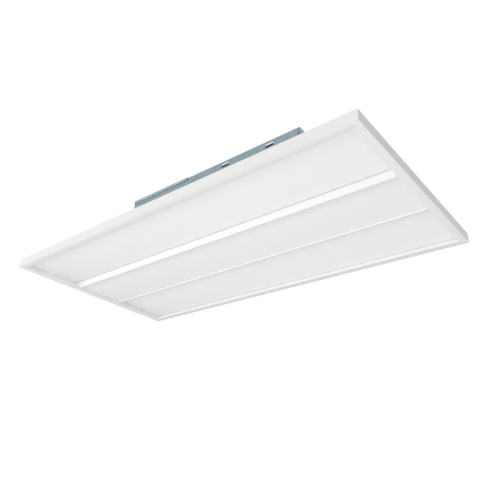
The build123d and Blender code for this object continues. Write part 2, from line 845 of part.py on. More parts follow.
inlet_groove = tray_sheet + 2 * pin_gap
with BuildPart() as inlet_grommet:
    outside_x = tray_left_x - pin_gap
    inside_x = outside_x + inlet_groove
    outer_length = (inlet_length - inlet_groove) / 2
    lengthwise(outside_x - outer_length, outside_x, inlet_y, inlet_z, inlet_flange_radius)
    lengthwise(outside_x, inside_x, inlet_y, inlet_z, inlet_body_radius)
    lengthwise(inside_x, inside_x + outer_length, inlet_y, inlet_z, inlet_inner_flange_radius)
    end_edges = inlet_grommet.edges().filter_by(GeomType.CIRCLE).group_by(Axis.X)
    fillet(end_edges[0] + end_edges[-1], radius=inlet_softening)
    lengthwise(
        outside_x - outer_length,
        inside_x + outer_length,
        inlet_y,
        inlet_z,
        inlet_bore_radius,
        Mode.SUBTRACT,
    )
inlet_grommet.part.label = "inlet_grommet"
export_step(inlet_grommet.part, "parts/inlet_grommet.step")

# ---- cover catches, snapped into the upper half of the near wall's slots ----
catch_top_z = slot_bottom_z + slot_height - pin_gap
catch_half = slot_width / 2 - pin_gap
with BuildPart() as cover_catches:
    for x in slot_x:
        nose = (x - catch_half, x + catch_half)
        block(*nose, tray_near_y - catch_proud, near_face, catch_top_z - catch_height, catch_top_z)
        block(
            nose[0] - catch_shoulder,
            nose[1] + catch_shoulder,
            near_face,
            near_face + catch_depth,
            catch_top_z - catch_height,
            catch_top_z + catch_shoulder,
        )
    front_edges = cover_catches.edges().group_by(Axis.Y)[0]
    chamfer(front_edges, length=catch_chamfer)
cover_catches.part.label = "cover_catches"
export_step(cover_catches.part, "parts/cover_catches.step")


# ---- hinged covers ----
def cover_curl(ears, axis_z, sheet_bottom):
    """The rolled edge round the pin, between the two ears, with the strip that leads to it."""
    start = ears[0] + ear_thickness / 2 + seat_gap
    end = ears[1] - ear_thickness / 2 - seat_gap
    bore_radius = hinge_pin_radius + pin_gap
    strip_centre = ((cover_end_y + hinge_y) / 2, sheet_bottom + cover_sheet / 2)
    with BuildPart() as curl:
        with BuildSketch(Plane.YZ.offset(start)):
            with Locations((hinge_y, axis_z)):
                Circle(bore_radius + cover_sheet)
            with Locations(strip_centre):
                Rectangle(hinge_y - cover_end_y, cover_sheet)
            with Locations((hinge_y, axis_z)):
                Circle(bore_radius, mode=Mode.SUBTRACT)
        extrude(amount=end - start)
    return curl.part


with BuildPart() as wiring_cover:
    sheet_bottom = wiring_top + seat_gap
    lip_bottom = sheet_bottom + cover_sheet - cover_lip
    lip_face_y = tray_near_y - seat_gap
    lip_face_x = tray_left_x - seat_gap
    cover_left_x = lip_face_x - cover_sheet
    cover_right_x = wiring_right_x - seat_gap / 2
    block(
        cover_left_x,
        cover_right_x,
        lip_face_y - cover_sheet,
        cover_end_y,
        sheet_bottom,
        sheet_bottom + cover_sheet,
    )
    block(cover_left_x, cover_right_x, lip_face_y - cover_sheet, lip_face_y, lip_bottom, sheet_bottom)
    block(
        cover_left_x,
        cover_right_x,
        lip_face_y - 2 * cover_sheet,
        lip_face_y - cover_sheet,
        lip_bottom,
        lip_bottom + cover_hem,
    )
    block(cover_left_x, lip_face_x, lip_face_y, cover_end_y, lip_bottom, sheet_bottom)
    add(cover_curl(wiring_ear_x, wiring_hinge_z, sheet_bottom))
wiring_cover.part.label = "wiring_cover"
export_step(wiring_cover.part, "parts/wiring_cover.step")

with BuildPart() as gear_cover:
    sheet_bottom = tray_top + seat_gap
    lip_bottom = sheet_bottom + cover_sheet - gear_lip
    inner_lip_y = near_face + seat_gap
    inner_lip_x = tray_right_x - tray_sheet - seat_gap
    cover_left_x = wiring_right_x + seat_gap
    block(
        cover_left_x,
        tray_right_x,
        tray_near_y,
        cover_end_y,
        sheet_bottom,
        sheet_bottom + cover_sheet,
    )
    block(cover_left_x, inner_lip_x, inner_lip_y, inner_lip_y + cover_sheet, lip_bottom, sheet_bottom)
    block(
        inner_lip_x - cover_sheet,
        inner_lip_x,
        inner_lip_y,
        far_face - seat_gap,
        lip_bottom,
        sheet_bottom,
    )
    # open notches that straddle the catches
    for x in slot_x:
        notch_half = catch_half + catch_shoulder + seat_gap
        block(
            x - notch_half,
            x + notch_half,
            inner_lip_y,
            inner_lip_y + cover_sheet,
            lip_bottom,
            catch_top_z + catch_shoulder + seat_gap,
            Mode.SUBTRACT,
        )
    add(cover_curl(gear_ear_x, gear_hinge_z, sheet_bottom))
gear_cover.part.label = "gear_cover"
export_step(gear_cover.part, "parts/gear_cover.step")

with BuildPart() as hinge_pins:
    for ear_places, axis_z in ((wiring_ear_x, wiring_hinge_z), (gear_ear_x, gear_hinge_z)):
        pin_limits = (ear_places[0] - hinge_pin_overhang, ear_places[1] + hinge_pin_overhang)
        lengthwise(*pin_limits, hinge_y, axis_z, hinge_pin_radius)
hinge_pins.part.label = "hinge_pins"
export_step(hinge_pins.part, "parts/hinge_pins.step")

# ---- driver ----
tab_near_y = driver_y - driver_width / 2 + driver_tab_inset
tab_far_y = tab_near_y + driver_tab
tab_centre_y = (tab_near_y + tab_far_y) / 2
driver_screw_x = (driver_x - driver_tab / 2, driver_right_x + driver_tab / 2)
with BuildPart() as led_driver:
    with BuildSketch(Plane.YZ.offset(driver_x)):
        with Locations((driver_y, tray_floor + driver_height / 2)):
            Rectangle(driver_width, driver_height)
    extrude(amount=driver_length)
    lid_edges = led_driver.faces().sort_by(Axis.Z)[-1].edges()
    fillet(lid_edges, radius=driver_softening)
    tab_limits = (driver_x - driver_tab, driver_right_x + driver_tab)
    block(*tab_limits, tab_near_y, tab_far_y, tray_floor, tray_floor + driver_tab_thickness)
    for x in driver_screw_x:
        upright(
            x,
            tab_centre_y,
            tray_floor,
            tray_floor + driver_tab_thickness,
            screw_radius + pin_gap,
            Mode.SUBTRACT,
        )
led_driver.part.label = "led_driver"
export_step(led_driver.part, "parts/led_driver.step")

terminal_middle_y = driver_y + driver_terminal_offset
with BuildPart() as driver_terminals:
    for x0, x1, centre_z in (
        (input_face_x, driver_x, supply_lead_z),
        (driver_right_x, output_face_x, output_lead_z),
    ):
        half_block = driver_terminal_width / 2
        half_tall = driver_terminal_height / 2
        block(
            x0,
            x1,
            terminal_middle_y - half_block,
            terminal_middle_y + half_block,
            centre_z - half_tall,
            centre_z + half_tall,
        )
driver_terminals.part.label = "driver_terminals"
export_step(driver_terminals.part, "parts/driver_terminals.step")

with BuildPart() as driver_screws:
    for x in driver_screw_x:
        tab_top = tray_floor + driver_tab_thickness
        screw(x, tab_centre_y, tab_top, driver_tab_thickness - blind_hole_gap)
driver_screws.part.label = "driver_screws"
export_step(driver_screws.part, "parts/driver_screws.step")

# ---- terminal block with one lever for each pole ----
block_length = pole_pitch * pole_count + 2 * block_end_wall
block_near_y = block_far_y - block_depth
block_top = tray_floor + block_height
pole_x = [block_x + (index - (pole_count - 1) / 2) * pole_pitch for index in range(pole_count)]
lever_axis_y = block_far_y - block_end_wall - lever_knuckle_radius - seat_gap
lever_axis_z = block_top - lever_knuckle_radius
lever_tip_y = lever_axis_y - lever_length
with BuildPart() as terminal_block:
    block(
        block_x - block_length / 2,
        block_x + block_length / 2,
        block_near_y,
        block_far_y,
        tray_floor,
        block_top,
    )
    body_edges = terminal_block.edges().filter_by(Axis.Z)
    fillet(body_edges, radius=block_softening)
    for x in pole_x:
        recess = (x - lever_width / 2 - seat_gap, x + lever_width / 2 + seat_gap)
        shallow = block_top - lever_thickness - seat_gap
        deep = lever_axis_z - lever_knuckle_radius - seat_gap
        back = lever_axis_y + lever_knuckle_radius + seat_gap
        front = lever_axis_y - lever_knuckle_radius - seat_gap
        block(*recess, lever_tip_y - seat_gap, back, shallow, block_top, Mode.SUBTRACT)
        block(*recess, front, back, deep, block_top, Mode.SUBTRACT)
        crosswise(
            x,
            block_near_y,
            block_near_y + wire_hole_depth,
            tray_floor + block_height / 3,
            wire_hole_radius,
            Mode.SUBTRACT,
        )
terminal_block.part.label = "terminal_block"
export_step(terminal_block.part, "parts/terminal_block.step")

for pole_name, x in zip(("live", "neutral", "earth"), pole_x):
    with BuildPart() as terminal_lever:
        lever_limits = (x - lever_width / 2, x + lever_width / 2)
        block(*lever_limits, lever_tip_y, lever_axis_y, block_top - lever_thickness, block_top)
        lengthwise(*lever_limits, lever_axis_y, lever_axis_z, lever_knuckle_radius)
        tip_edge = terminal_lever.edges().filter_by(Axis.X).group_by(Axis.Y)[0].sort_by(Axis.Z)[-1]
        chamfer(tip_edge, length=lever_chamfer)
    terminal_lever.part.label = f"terminal_lever_{pole_name}"
    export_step(terminal_lever.part, f"parts/terminal_lever_{pole_name}.step")

# ---- earth screw with its washer, on the tray's floor ----
with BuildPart() as earth_screw:
    screw(earth_x, earth_y, tray_floor + washer_thickness, washer_thickness)
    upright(earth_x, earth_y, tray_floor, tray_floor + washer_thickness, washer_radius)
earth_screw.part.label = "earth_screw"
export_step(earth_screw.part, "parts/earth_screw.step")

# ---- supply leads, from the terminal block through the partition to the driver ----
with BuildPart() as supply_leads:
    for x, row, turn_x, entry_y in zip(pole_x, supply_rows, supply_turn_x, supply_entry_y):
        supply_route = (
            (x, block_far_y, supply_lead_z),
            (x, row, supply_lead_z),
            (turn_x, row, supply_lead_z),
            (turn_x, entry_y, supply_lead_z),
            (input_face_x, entry_y, supply_lead_z),
        )
        add(lead(supply_route, supply_lead_radius, supply_bend))
supply_leads.part.label = "supply_leads"
export_step(supply_leads.part, "parts/supply_leads.step")

# ---- output leads, from the driver to the two light bars ----
socket_top = shelf_top + socket_height
near_route = (
    (output_face_x, output_entry_y[0], output_lead_z),
    (near_lead_x, output_entry_y[0], output_lead_z),
    (near_lead_x, -lead_entry_y, output_lead_z),
    (near_lead_x, -lead_entry_y, socket_top),
)
with BuildPart() as output_lead_near:
    add(lead(near_route, output_lead_radius, output_bend))
output_lead_near.part.label = "output_lead_near"
export_step(output_lead_near.part, "parts/output_lead_near.step")

far_route = (
    (output_face_x, output_entry_y[1], output_lead_z),
    (far_lead_x, output_entry_y[1], output_lead_z),
    (far_lead_x, descent_start_y, output_lead_z),
    (far_lead_x, descent_end_y, low_run_z),
    (far_lead_x, rise_start_y, low_run_z),
    (far_lead_x, rise_end_y, output_lead_z),
    (far_lead_x, lead_entry_y, output_lead_z),
    (far_lead_x, lead_entry_y, socket_top),
)
with BuildPart() as output_lead_far:
    add(lead(far_route, output_lead_radius, output_bend))
output_lead_far.part.label = "output_lead_far"
export_step(output_lead_far.part, "parts/output_lead_far.step")

with BuildPart() as lead_saddles:
    for y in saddle_y:
        block(
            far_lead_x - saddle_width / 2,
            far_lead_x + saddle_width / 2,
            y - saddle_width / 2,
            y + saddle_width / 2,
            plate_top,
            plate_top + saddle_height,
        )
    top_edges = lead_saddles.edges().filter_by(Axis.Y).group_by(Axis.Z)[-1]
    fillet(top_edges, radius=saddle_softening)
    for y in saddle_y:
        saddle_limits = (y - saddle_width / 2, y + saddle_width / 2)
        hole_radius = output_lead_radius + pin_gap
        crosswise(far_lead_x, *saddle_limits, low_run_z, hole_radius, Mode.SUBTRACT)
lead_saddles.part.label = "lead_saddles"
export_step(lead_saddles.part, "parts/lead_saddles.step")

# ---- swing clips on riveted Z brackets ----
riser_y = clip_pivot_y - bracket_riser_offset
shelf_outer_y = clip_pivot_y + clip_width / 2
shelf_top_z = clip_shelf_z + clip_sheet
with BuildPart() as clip_brackets:
    for x, side in clip_places:
        across = (x - bracket_width / 2, x + bracket_width / 2)
        foot = sorted((side * (riser_y - bracket_foot), side * riser_y))
        riser = sorted((side * riser_y, side * (riser_y + clip_sheet)))
        shelf = sorted((side * riser_y, side * shelf_outer_y))
        block(*across, *foot, plate_top, plate_top + clip_sheet)
        block(*across, *riser, plate_top, shelf_top_z)
        block(*across, *shelf, clip_shelf_z, shelf_top_z)
        rivet_radius = clip_rivet_radius + pin_gap
        upright(x, side * clip_pivot_y, clip_shelf_z, shelf_top_z, rivet_radius, Mode.SUBTRACT)
        foot_hole_radius = screw_radius + pin_gap
        upright(
            x,
            side * bracket_foot_y,
            plate_top,
            plate_top + clip_sheet,
            foot_hole_radius,
            Mode.SUBTRACT,
        )
clip_brackets.part.label = "clip_brackets"
export_step(clip_brackets.part, "parts/clip_brackets.step")

clip_bottom_z = shelf_top_z + seat_gap
clip_top_z = clip_bottom_z + clip_sheet
with BuildPart() as clip_rivets:
    for x, side in clip_places:
        foot_top = plate_top + clip_sheet
        foot_y = side * bracket_foot_y
        upright(x, foot_y, foot_top, foot_top + rivet_head_height, rivet_head_radius)
        upright(x, foot_y, ledge_z, foot_top, screw_radius)
        upright(x, foot_y, ledge_z - rivet_tail_height, ledge_z, rivet_tail_radius)
        pivot_y = side * clip_pivot_y
        head_bottom = clip_top_z + seat_gap
        upright(x, pivot_y, head_bottom, head_bottom + rivet_head_height, clip_rivet_head_radius)
        upright(x, pivot_y, clip_shelf_z, head_bottom, clip_rivet_radius)
        upright(x, pivot_y, clip_shelf_z - rivet_tail_height, clip_shelf_z, rivet_head_radius)
clip_rivets.part.label = "clip_rivets"
export_step(clip_rivets.part, "parts/clip_rivets.step")

for (x, side), place_name in zip(clip_places, ("near_left", "near_right", "far_left", "far_right")):
    heading = 1 if x > 0 else -1
    tip_x = x + heading * clip_reach
    pivot_y = side * clip_pivot_y
    with BuildPart() as grid_clip:
        strip = sorted((x, tip_x))
        block(*strip, pivot_y - clip_width / 2, pivot_y + clip_width / 2, clip_bottom_z, clip_top_z)
        upright(x, pivot_y, clip_bottom_z, clip_top_z, clip_width / 2)
        tip = sorted((tip_x, tip_x - heading * clip_sheet))
        block(
            *tip,
            pivot_y - clip_width / 2,
            pivot_y + clip_width / 2,
            clip_bottom_z,
            clip_top_z + clip_tip_fold,
        )
        rivet_hole = clip_rivet_radius + pin_gap
        upright(x, pivot_y, clip_bottom_z, clip_top_z, rivet_hole, Mode.SUBTRACT)
    grid_clip.part.label = f"grid_clip_{place_name}"
    export_step(grid_clip.part, f"parts/grid_clip_{place_name}.step")
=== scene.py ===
import json
import math

import bmesh
import bpy
from mathutils import Matrix, Vector


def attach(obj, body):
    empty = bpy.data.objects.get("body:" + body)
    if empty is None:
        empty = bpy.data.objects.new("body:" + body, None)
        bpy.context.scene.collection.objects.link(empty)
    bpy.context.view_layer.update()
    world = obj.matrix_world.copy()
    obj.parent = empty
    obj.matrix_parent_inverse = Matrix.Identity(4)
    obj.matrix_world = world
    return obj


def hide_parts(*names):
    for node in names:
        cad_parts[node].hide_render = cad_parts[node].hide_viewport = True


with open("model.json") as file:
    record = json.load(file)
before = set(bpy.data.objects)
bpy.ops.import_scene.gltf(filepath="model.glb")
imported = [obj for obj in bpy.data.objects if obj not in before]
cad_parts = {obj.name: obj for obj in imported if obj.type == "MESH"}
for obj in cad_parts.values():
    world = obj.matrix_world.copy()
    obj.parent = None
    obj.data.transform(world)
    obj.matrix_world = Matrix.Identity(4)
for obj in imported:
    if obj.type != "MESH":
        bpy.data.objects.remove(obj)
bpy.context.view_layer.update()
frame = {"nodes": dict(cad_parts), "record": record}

# ---- Frame rails ----
# Four lengths of one aluminium extrusion, mitred at the corners and powder coated satin white.
# The flange is the rim that shows below the ceiling; the outer wall stands up from its edge.
mm = 0.001
weld = 0.001 * mm
flat_angle = math.radians(0.5)
crease = math.radians(32)
fold_angle = 0.3
body_of_node = {}
for body_name, node_names in frame["record"]["behaviour"]["bodies"].items():
    for node_name in node_names:
        body_of_node[node_name] = body_name


class Socket:
    """An output of a node; sums written with it in Python become Math nodes."""

    def __init__(self, graph, output):
        self.graph = graph
        self.output = output

    def math(self, operation, first, second=0.0):
        return self.graph.node("ShaderNodeMath", {"operation": operation}, {0: first, 1: second})

    def __add__(self, other):
        return self.math("ADD", self, other)

    def __radd__(self, other):
        return self.math("ADD", other, self)

    def __sub__(self, other):
        return self.math("SUBTRACT", self, other)

    def __rsub__(self, other):
        return self.math("SUBTRACT", other, self)

    def __mul__(self, other):
        return self.math("MULTIPLY", self, other)

    def __rmul__(self, other):
        return self.math("MULTIPLY", other, self)

    def __gt__(self, limit):
        return self.math("GREATER_THAN", self, limit)

    def __lt__(self, limit):
        return self.math("LESS_THAN", self, limit)


class Graph:
    """A node tree that is filled by one method."""

    def __init__(self, tree):
        self.tree = tree

    def node(self, kind, settings=None, sockets=None, out=0):
        """Adds a node: its settings first, then values or links for its sockets."""
        made = self.tree.nodes.new(kind)
        for name, value in (settings or {}).items():
            if name == "stops":
                while len(made.color_ramp.elements) < len(value):
                    made.color_ramp.elements.new(1.0)
                for element, (position, colour) in zip(made.color_ramp.elements, value):
                    element.position = position
                    element.color = colour
            elif name == "curve":
                points = made.mapping.curves[0].points
                while len(points) < len(value):
                    points.new(1.0, 1.0)
                for point, (x, y) in zip(points, value):
                    point.location = (x, y)
                    point.handle_type = "VECTOR"
                made.mapping.update()
            else:
                setattr(made, name, value)
        for name, value in (sockets or {}).items():
            if isinstance(value, Socket):
                self.tree.links.new(value.output, made.inputs[name])
            else:
                made.inputs[name].default_value = value
        if out is None:
            return None
        if isinstance(out, tuple):
            return [Socket(self, made.outputs[name]) for name in out]
        return Socket(self, made.outputs[out])


class Finish(Graph):
    """A material: what varies over the surface is linked, what doesn't is set on the shader."""

    def __init__(self, name):
        self.material = bpy.data.materials.new(name)
        self.material.use_nodes = True
        super().__init__(self.material.node_tree)
        self.shader = self.tree.nodes["Principled BSDF"]
        self.place = self.node("ShaderNodeTexCoord", out="Object")

    def noise(self, scale, detail=2.0, place=None, roughness=0.5):
        sockets = {"Vector": place or self.place, "Scale": scale, "Detail": detail, "Roughness": roughness}
        return self.node("ShaderNodeTexNoise", None, sockets)

    def stretched(self, scale):
        return self.node("ShaderNodeMapping", None, {"Vector": self.place, "Scale": scale})

    def ramp(self, value, start, end):
        """0 at start, 1 at end, held beyond both; start may lie above end."""
        sockets = {"Value": value, "From Min": start, "From Max": end}
        return self.node("ShaderNodeMapRange", None, sockets)

    def mix(self, factor, first, second):
        return self.node("ShaderNodeMix", {"data_type": "RGBA"}, {0: factor, 6: first, 7: second}, out=2)

    def bump(self, height, strength, distance):
        sockets = {"Height": height, "Strength": strength, "Distance": distance}
        return self.node("ShaderNodeBump", None, sockets)

    def set(self, values):
        for name, value in values.items():
            if isinstance(value, Socket):
                self.tree.links.new(value.output, self.shader.inputs[name])
            else:
                self.shader.inputs[name].default_value = value
        return self.material


def grey(level, warmth=0.0):
    """A near neutral colour; warmth tips it from blue to yellow."""
    return (level * (1 + warmth), level, level * (1 - warmth), 1.0)


def off_white(level):
    """White with a trace of yellow-green, as white coats and plastics have."""
    return (level * 0.997, level * 1.001, level * 0.987, 1.0)


def powder_coat(name, level, roughness, peel, painted_light_and_shade_bands=()):
    """Baked polyester powder: a fine orange peel, hardly any tone of its own, dust in patches.

    Painted light and shade bands are lighter or darker bands along edges: a painted highlight or painted
    shade, fitted to the shading. Each gives a Y, how far the band reaches from there, how much of its
    tone shows and that tone's share of the level.
    """
    coat = Finish(name)
    patches = coat.noise(2.2, 3.0)
    specks = coat.noise(420.0, 1.0)
    dust = (patches - 0.5) * 0.30 + (specks - 0.5) * 0.12 + 0.5
    skin = coat.noise(700.0, 2.0)
    flow = coat.noise(140.0, 1.0)
    colour = coat.mix(dust, off_white(level * 0.985), off_white(level * 1.012))
    if painted_light_and_shade_bands:
        _, y, _ = coat.node("ShaderNodeSeparateXYZ", None, {0: coat.place}, out=("X", "Y", "Z"))
    # Each band paints shade (tone below 1) or a highlight (tone above 1) along an edge.
    for edge, reach, share, tone in painted_light_and_shade_bands:
        in_painted_band = coat.ramp(y, edge + reach, edge)
        colour = coat.mix(in_painted_band * in_painted_band * share, colour, off_white(level * tone))
    return coat.set({
        "Base Color": colour,
        "Roughness": (patches - 0.5) * 0.10 + (skin - 0.5) * 0.08 + roughness,
        "Normal": coat.bump(skin * 0.6 + flow * 0.4, peel, 0.06 * mm),
        "IOR": 1.46,
    })


def settled(piece):
    """Turns what the modifiers make into the piece's own plain mesh."""
    shown = piece.evaluated_get(bpy.context.evaluated_depsgraph_get())
    mesh = bpy.data.meshes.new_from_object(shown)
    mesh.name = piece.name
    piece.modifiers.clear()
    piece.data = mesh
    return piece


def new_piece(name, mesh):
    piece = bpy.data.objects.new(name, mesh)
    bpy.context.scene.collection.objects.link(piece)
    return piece


def fitted(piece, material, slot, *nodes):
    """Gives a finished piece its material and puts it in place of CAD nodes, on their body."""
    if material:
        piece.data.materials.clear()
        piece.data.materials.append(material)
    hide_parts(*nodes)
    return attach(piece, body_of_node[nodes[0]])


def folds(shape, thickness):
    """The fold lines of a sheet: outside corners with an inside corner one thickness away."""
    hollow = [
        edge for edge in shape.edges if edge.is_manifold and edge.calc_face_angle_signed() < -fold_angle
    ]
    pairs = []
    for edge in shape.edges:
        if not edge.is_manifold or edge.calc_face_angle_signed() < fold_angle:
            continue
        start, end = edge.verts[0].co, edge.verts[1].co
        along = (end - start).normalized()
        for inner in hollow:
            line = inner.verts[1].co - inner.verts[0].co
            if abs(line.normalized().dot(along)) < 0.999:
                continue
            if (inner.verts[0].co - start).cross(along).length > 1.7 * thickness:
                continue
            reach = sorted(((vertex.co - start).dot(along) for vertex in inner.verts))
            if reach[1] > 0 and reach[0] < (end - start).length:
                pairs.append((edge, inner))
    return pairs


def merged(node):
    """A copy of a CAD node's mesh, its loose triangles joined into whole faces."""
    shape = bmesh.new()
    shape.from_mesh(frame["nodes"][node].data)
    bmesh.ops.remove_doubles(shape, verts=shape.verts, dist=weld)
    bmesh.ops.dissolve_limit(shape, angle_limit=flat_angle, verts=shape.verts, edges=shape.edges)
    return shape


def shaded(piece, shape):
    """Puts a shape into a piece, smooth but for its sharp edges."""
    for face in shape.faces:
        face.smooth = True
    for edge in shape.edges:
        edge.smooth = edge.calc_face_angle(math.pi) < crease
    shape.to_mesh(piece.data)
    shape.free()


def bevelled(piece, width, segments, weight_of):
    """Rounds a piece's edges: weight_of gives each edge's share of the width."""
    shape = bmesh.new()
    shape.from_mesh(piece.data)
    weights = shape.edges.layers.float.new("bevel_weight_edge")
    for edge, weight in weight_of(shape):
        edge[weights] = weight
    shaded(piece, shape)
    bevel = piece.modifiers.new("edges", "BEVEL")
    bevel.width = width
    bevel.segments = segments
    bevel.limit_method = "WEIGHT"
    bevel.harden_normals = True
    settled(piece)
    piece.data.attributes.remove(piece.data.attributes["bevel_weight_edge"])


def sharp_edges(shape, shortest):
    """Edges to break: sharp ones, without the facets of small holes and arcs."""
    for edge in shape.edges:
        if edge.calc_face_angle(0.0) > crease and edge.calc_length() > shortest:
            yield edge, 1.0


def eased(node, name, material, slot, ease, bend=0.0, thickness=0.0, shape=None):
    """The piece that a CAD node gives: facets joined, folds round, every other edge softly broken."""
    piece = new_piece(name, bpy.data.meshes.new(name))
    shaded(piece, shape or merged(node))
    if bend:
        inner_share = bend / (bend + thickness)
        bevelled(piece, bend + thickness, 4, lambda copy: [
            (edge, share)
            for pair in folds(copy, thickness)
            for edge, share in zip(pair, (1.0, inner_share))
        ])
    if ease:
        bevelled(piece, ease, 2, lambda copy: sharp_edges(copy, 3 * ease))
    return fitted(piece, material, slot, node)


flange_outside = {"near": 297.5 * mm, "far": 297.5 * mm, "left": 597.5 * mm, "right": 597.5 * mm}
flange_width = 21.5 * mm
arris = 0.5 * mm
corner_round = 1.2 * mm
cut_tolerance = 1e-7
mitre_offset = 300.0 * mm
hair = 0.01 * mm


def with_true_arrises(side, across, along, outside, longer):
    """The rail's CAD shape, with the fine arcs of the flange's two arrises drawn back to corners."""
    shape = merged(f"rail_{side}")
    for vertex in shape.verts:
        distance = abs(vertex.co[across])
        if vertex.co.z > arris + hair:
            continue
        if distance > outside - arris - hair:
            wanted = outside
        elif distance < outside - flange_width + arris + hair:
            wanted = outside - flange_width
        else:
            continue
        vertex.co[across] = math.copysign(wanted, vertex.co[across])
        vertex.co[along] = math.copysign(wanted + longer, vertex.co[along])
        vertex.co.z = 0.0
    bmesh.ops.remove_doubles(shape, verts=shape.verts, dist=weld)
    bmesh.ops.dissolve_limit(shape, angle_limit=flat_angle, verts=shape.verts, edges=shape.edges)
    return shape


def filed_corners(shape, across, along, outside, longer):
    """Rounds the outer wall where two mitred rails meet, as a file leaves it before coating."""
    end = outside + longer
    start = end - corner_round
    for sign in (-1, 1):
        for share in (0.0, 0.25, 0.5, 0.75):
            point = Vector((0, 0, 0))
            point[along] = sign * (start + share * corner_round)
            normal = Vector((0, 0, 0))
            normal[along] = 1
            geometry = shape.verts[:] + shape.edges[:] + shape.faces[:]
            bmesh.ops.bisect_plane(
                shape, geom=geometry, dist=cut_tolerance, plane_co=point, plane_no=normal
            )
    for vertex in shape.verts:
        reach = abs(vertex.co[along])
        depth = outside - abs(vertex.co[across])
        if reach < start or depth > arris + hair:
            continue
        turn = (reach - start) / corner_round * math.radians(45)
        new_along = start + corner_round * math.sin(turn)
        new_across = outside - depth - corner_round * (1 - math.cos(turn))
        vertex.co[along] = math.copysign(new_along, vertex.co[along])
        vertex.co[across] = math.copysign(new_across, vertex.co[across])
    return shape


def coated_rail(side):
    across, along = (1, 0) if side in ("near", "far") else (0, 1)
    outside = flange_outside[side]
    longer = mitre_offset if across == 1 else -mitre_offset
    piece = new_piece(f"coated_rail_{side}", bpy.data.meshes.new(side))
    shaded(piece, with_true_arrises(side, across, along, outside, longer))

    def weights(shape):
        for edge, share in sharp_edges(shape, 1.0 * mm):
            ends = [vertex.co for vertex in edge.verts]
            if all(outside + longer - abs(co[along]) < hair for co in ends):
                continue
            low = all(co.z < hair for co in ends)
            yield edge, (1.0 if low and abs(ends[0][across] - ends[1][across]) < hair else 0.4)

    bevelled(piece, arris, 3, weights)
    shape = bmesh.new()
    shape.from_mesh(piece.data)
    shaded(piece, filed_corners(shape, across, along, outside, longer))
    # Each rail's coat carries its painted shade: its own level of white and any dark band.
    paint = powder_coat(f"satin_white_coat_{side}", rail_level_with_painted_shade[side], 0.50, 0.16, rail_painted_shade_bands[side])
    return fitted(piece, paint, "white_rail", f"rail_{side}")


# Each rail's level of white is painted shade: the rails are lit and shaded copies of one coat.
# # The band along the far flange is a painted shade line. Both are fitted to the shading.
rail_level_with_painted_shade = {"near": 0.875, "far": 0.865, "left": 0.835, "right": 0.855}
rail_painted_shade_bands = {"near": (), "far": ((276.9 * mm, -0.6 * mm, 0.31, 0.5),), "left": (), "right": ()}
for side in ("near", "far", "left", "right"):
    coated_rail(side)

# ---- Corner keys ----
# Zinc-plated steel angles pressed into the rails' channels. They pull the mitres tight.


def plated(name, level, warmth, roughness):
    """Bright zinc: a thin passivated film that clouds unevenly, with tumbling marks."""
    zinc = Finish(name)
    clouds = zinc.noise(160.0, 3.0)
    scuffs = zinc.noise(900.0, 2.0, zinc.stretched((1.0, 6.0, 1.0)))
    tone = (clouds - 0.5) * 0.9 + (scuffs - 0.5) * 0.4 + 0.5
    return zinc.set({
        "Base Color": zinc.mix(tone, grey(level * 0.86, warmth * 2), grey(level * 1.08, warmth)),
        "Metallic": 1.0,
        "Roughness": (clouds - 0.5) * 0.22 + (scuffs - 0.5) * 0.12 + roughness,
        "Normal": zinc.bump(scuffs, 0.12, 0.03 * mm),
    })


zinc_plate = plated("bright_zinc", 0.62, 0.012, 0.30)
eased("corner_keys", "pressed_corner_keys", zinc_plate, "zinc_fixing", 0.3 * mm)

# ---- Back plate ----
# One sheet of hot-dip galvanised steel on the rails' ledges. The zinc's crystals show as spangle.


def galvanised(name, light, dark, spangle, metallic=1.0):
    """Hot-dip zinc: flat crystals of a few millimetres, each with its own tone and gloss."""
    sheet = Finish(name)
    drift = sheet.noise(35.0, 2.0)
    crystals = sheet.node(
        "ShaderNodeTexVoronoi",
        {"feature": "F1"},
        {"Vector": sheet.place, "Scale": 1 / spangle, "Randomness": 1.0},
        out="Color",
    )
    grains = sheet.node(
        "ShaderNodeTexVoronoi",
        {"feature": "F1"},
        {"Vector": sheet.place, "Scale": 2.7 / spangle, "Randomness": 1.0},
        out="Color",
    )
    large = sheet.node("ShaderNodeSeparateColor", None, {"Color": crystals}, out="Red")
    small = sheet.node("ShaderNodeSeparateColor", None, {"Color": grains}, out="Red")
    rolled = sheet.noise(30.0, 3.0, sheet.stretched((1.0, 30.0, 30.0)))
    tone = (large - 0.5) * 0.42 + (small - 0.5) * 0.22 + (rolled - 0.5) * 0.35 + (drift - 0.5) * 0.3 + 0.5
    return sheet.set({
        "Base Color": sheet.mix(tone, dark, light),
        "Metallic": metallic,
        "Roughness": (large - 0.5) * 0.16 + (small - 0.5) * 0.08 + 0.40,
        "Normal": sheet.bump(large * 0.5 + rolled * 0.5, 0.10, 0.04 * mm),
    })


steel_light = (0.330, 0.405, 0.450, 1.0)
steel_dark = (0.215, 0.285, 0.325, 1.0)
spangle_size = 7 * mm
galvanised_sheet = galvanised("galvanised_sheet", steel_light, steel_dark, spangle_size)
eased("back_plate", "galvanised_back_plate", galvanised_sheet, "galvanised", 0.15 * mm)

# ---- Plate screws ----
# Pan-head sheet-metal screws with a cross recess, driven down through the plate into the ledges.
recess_lobe_depth = 0.42


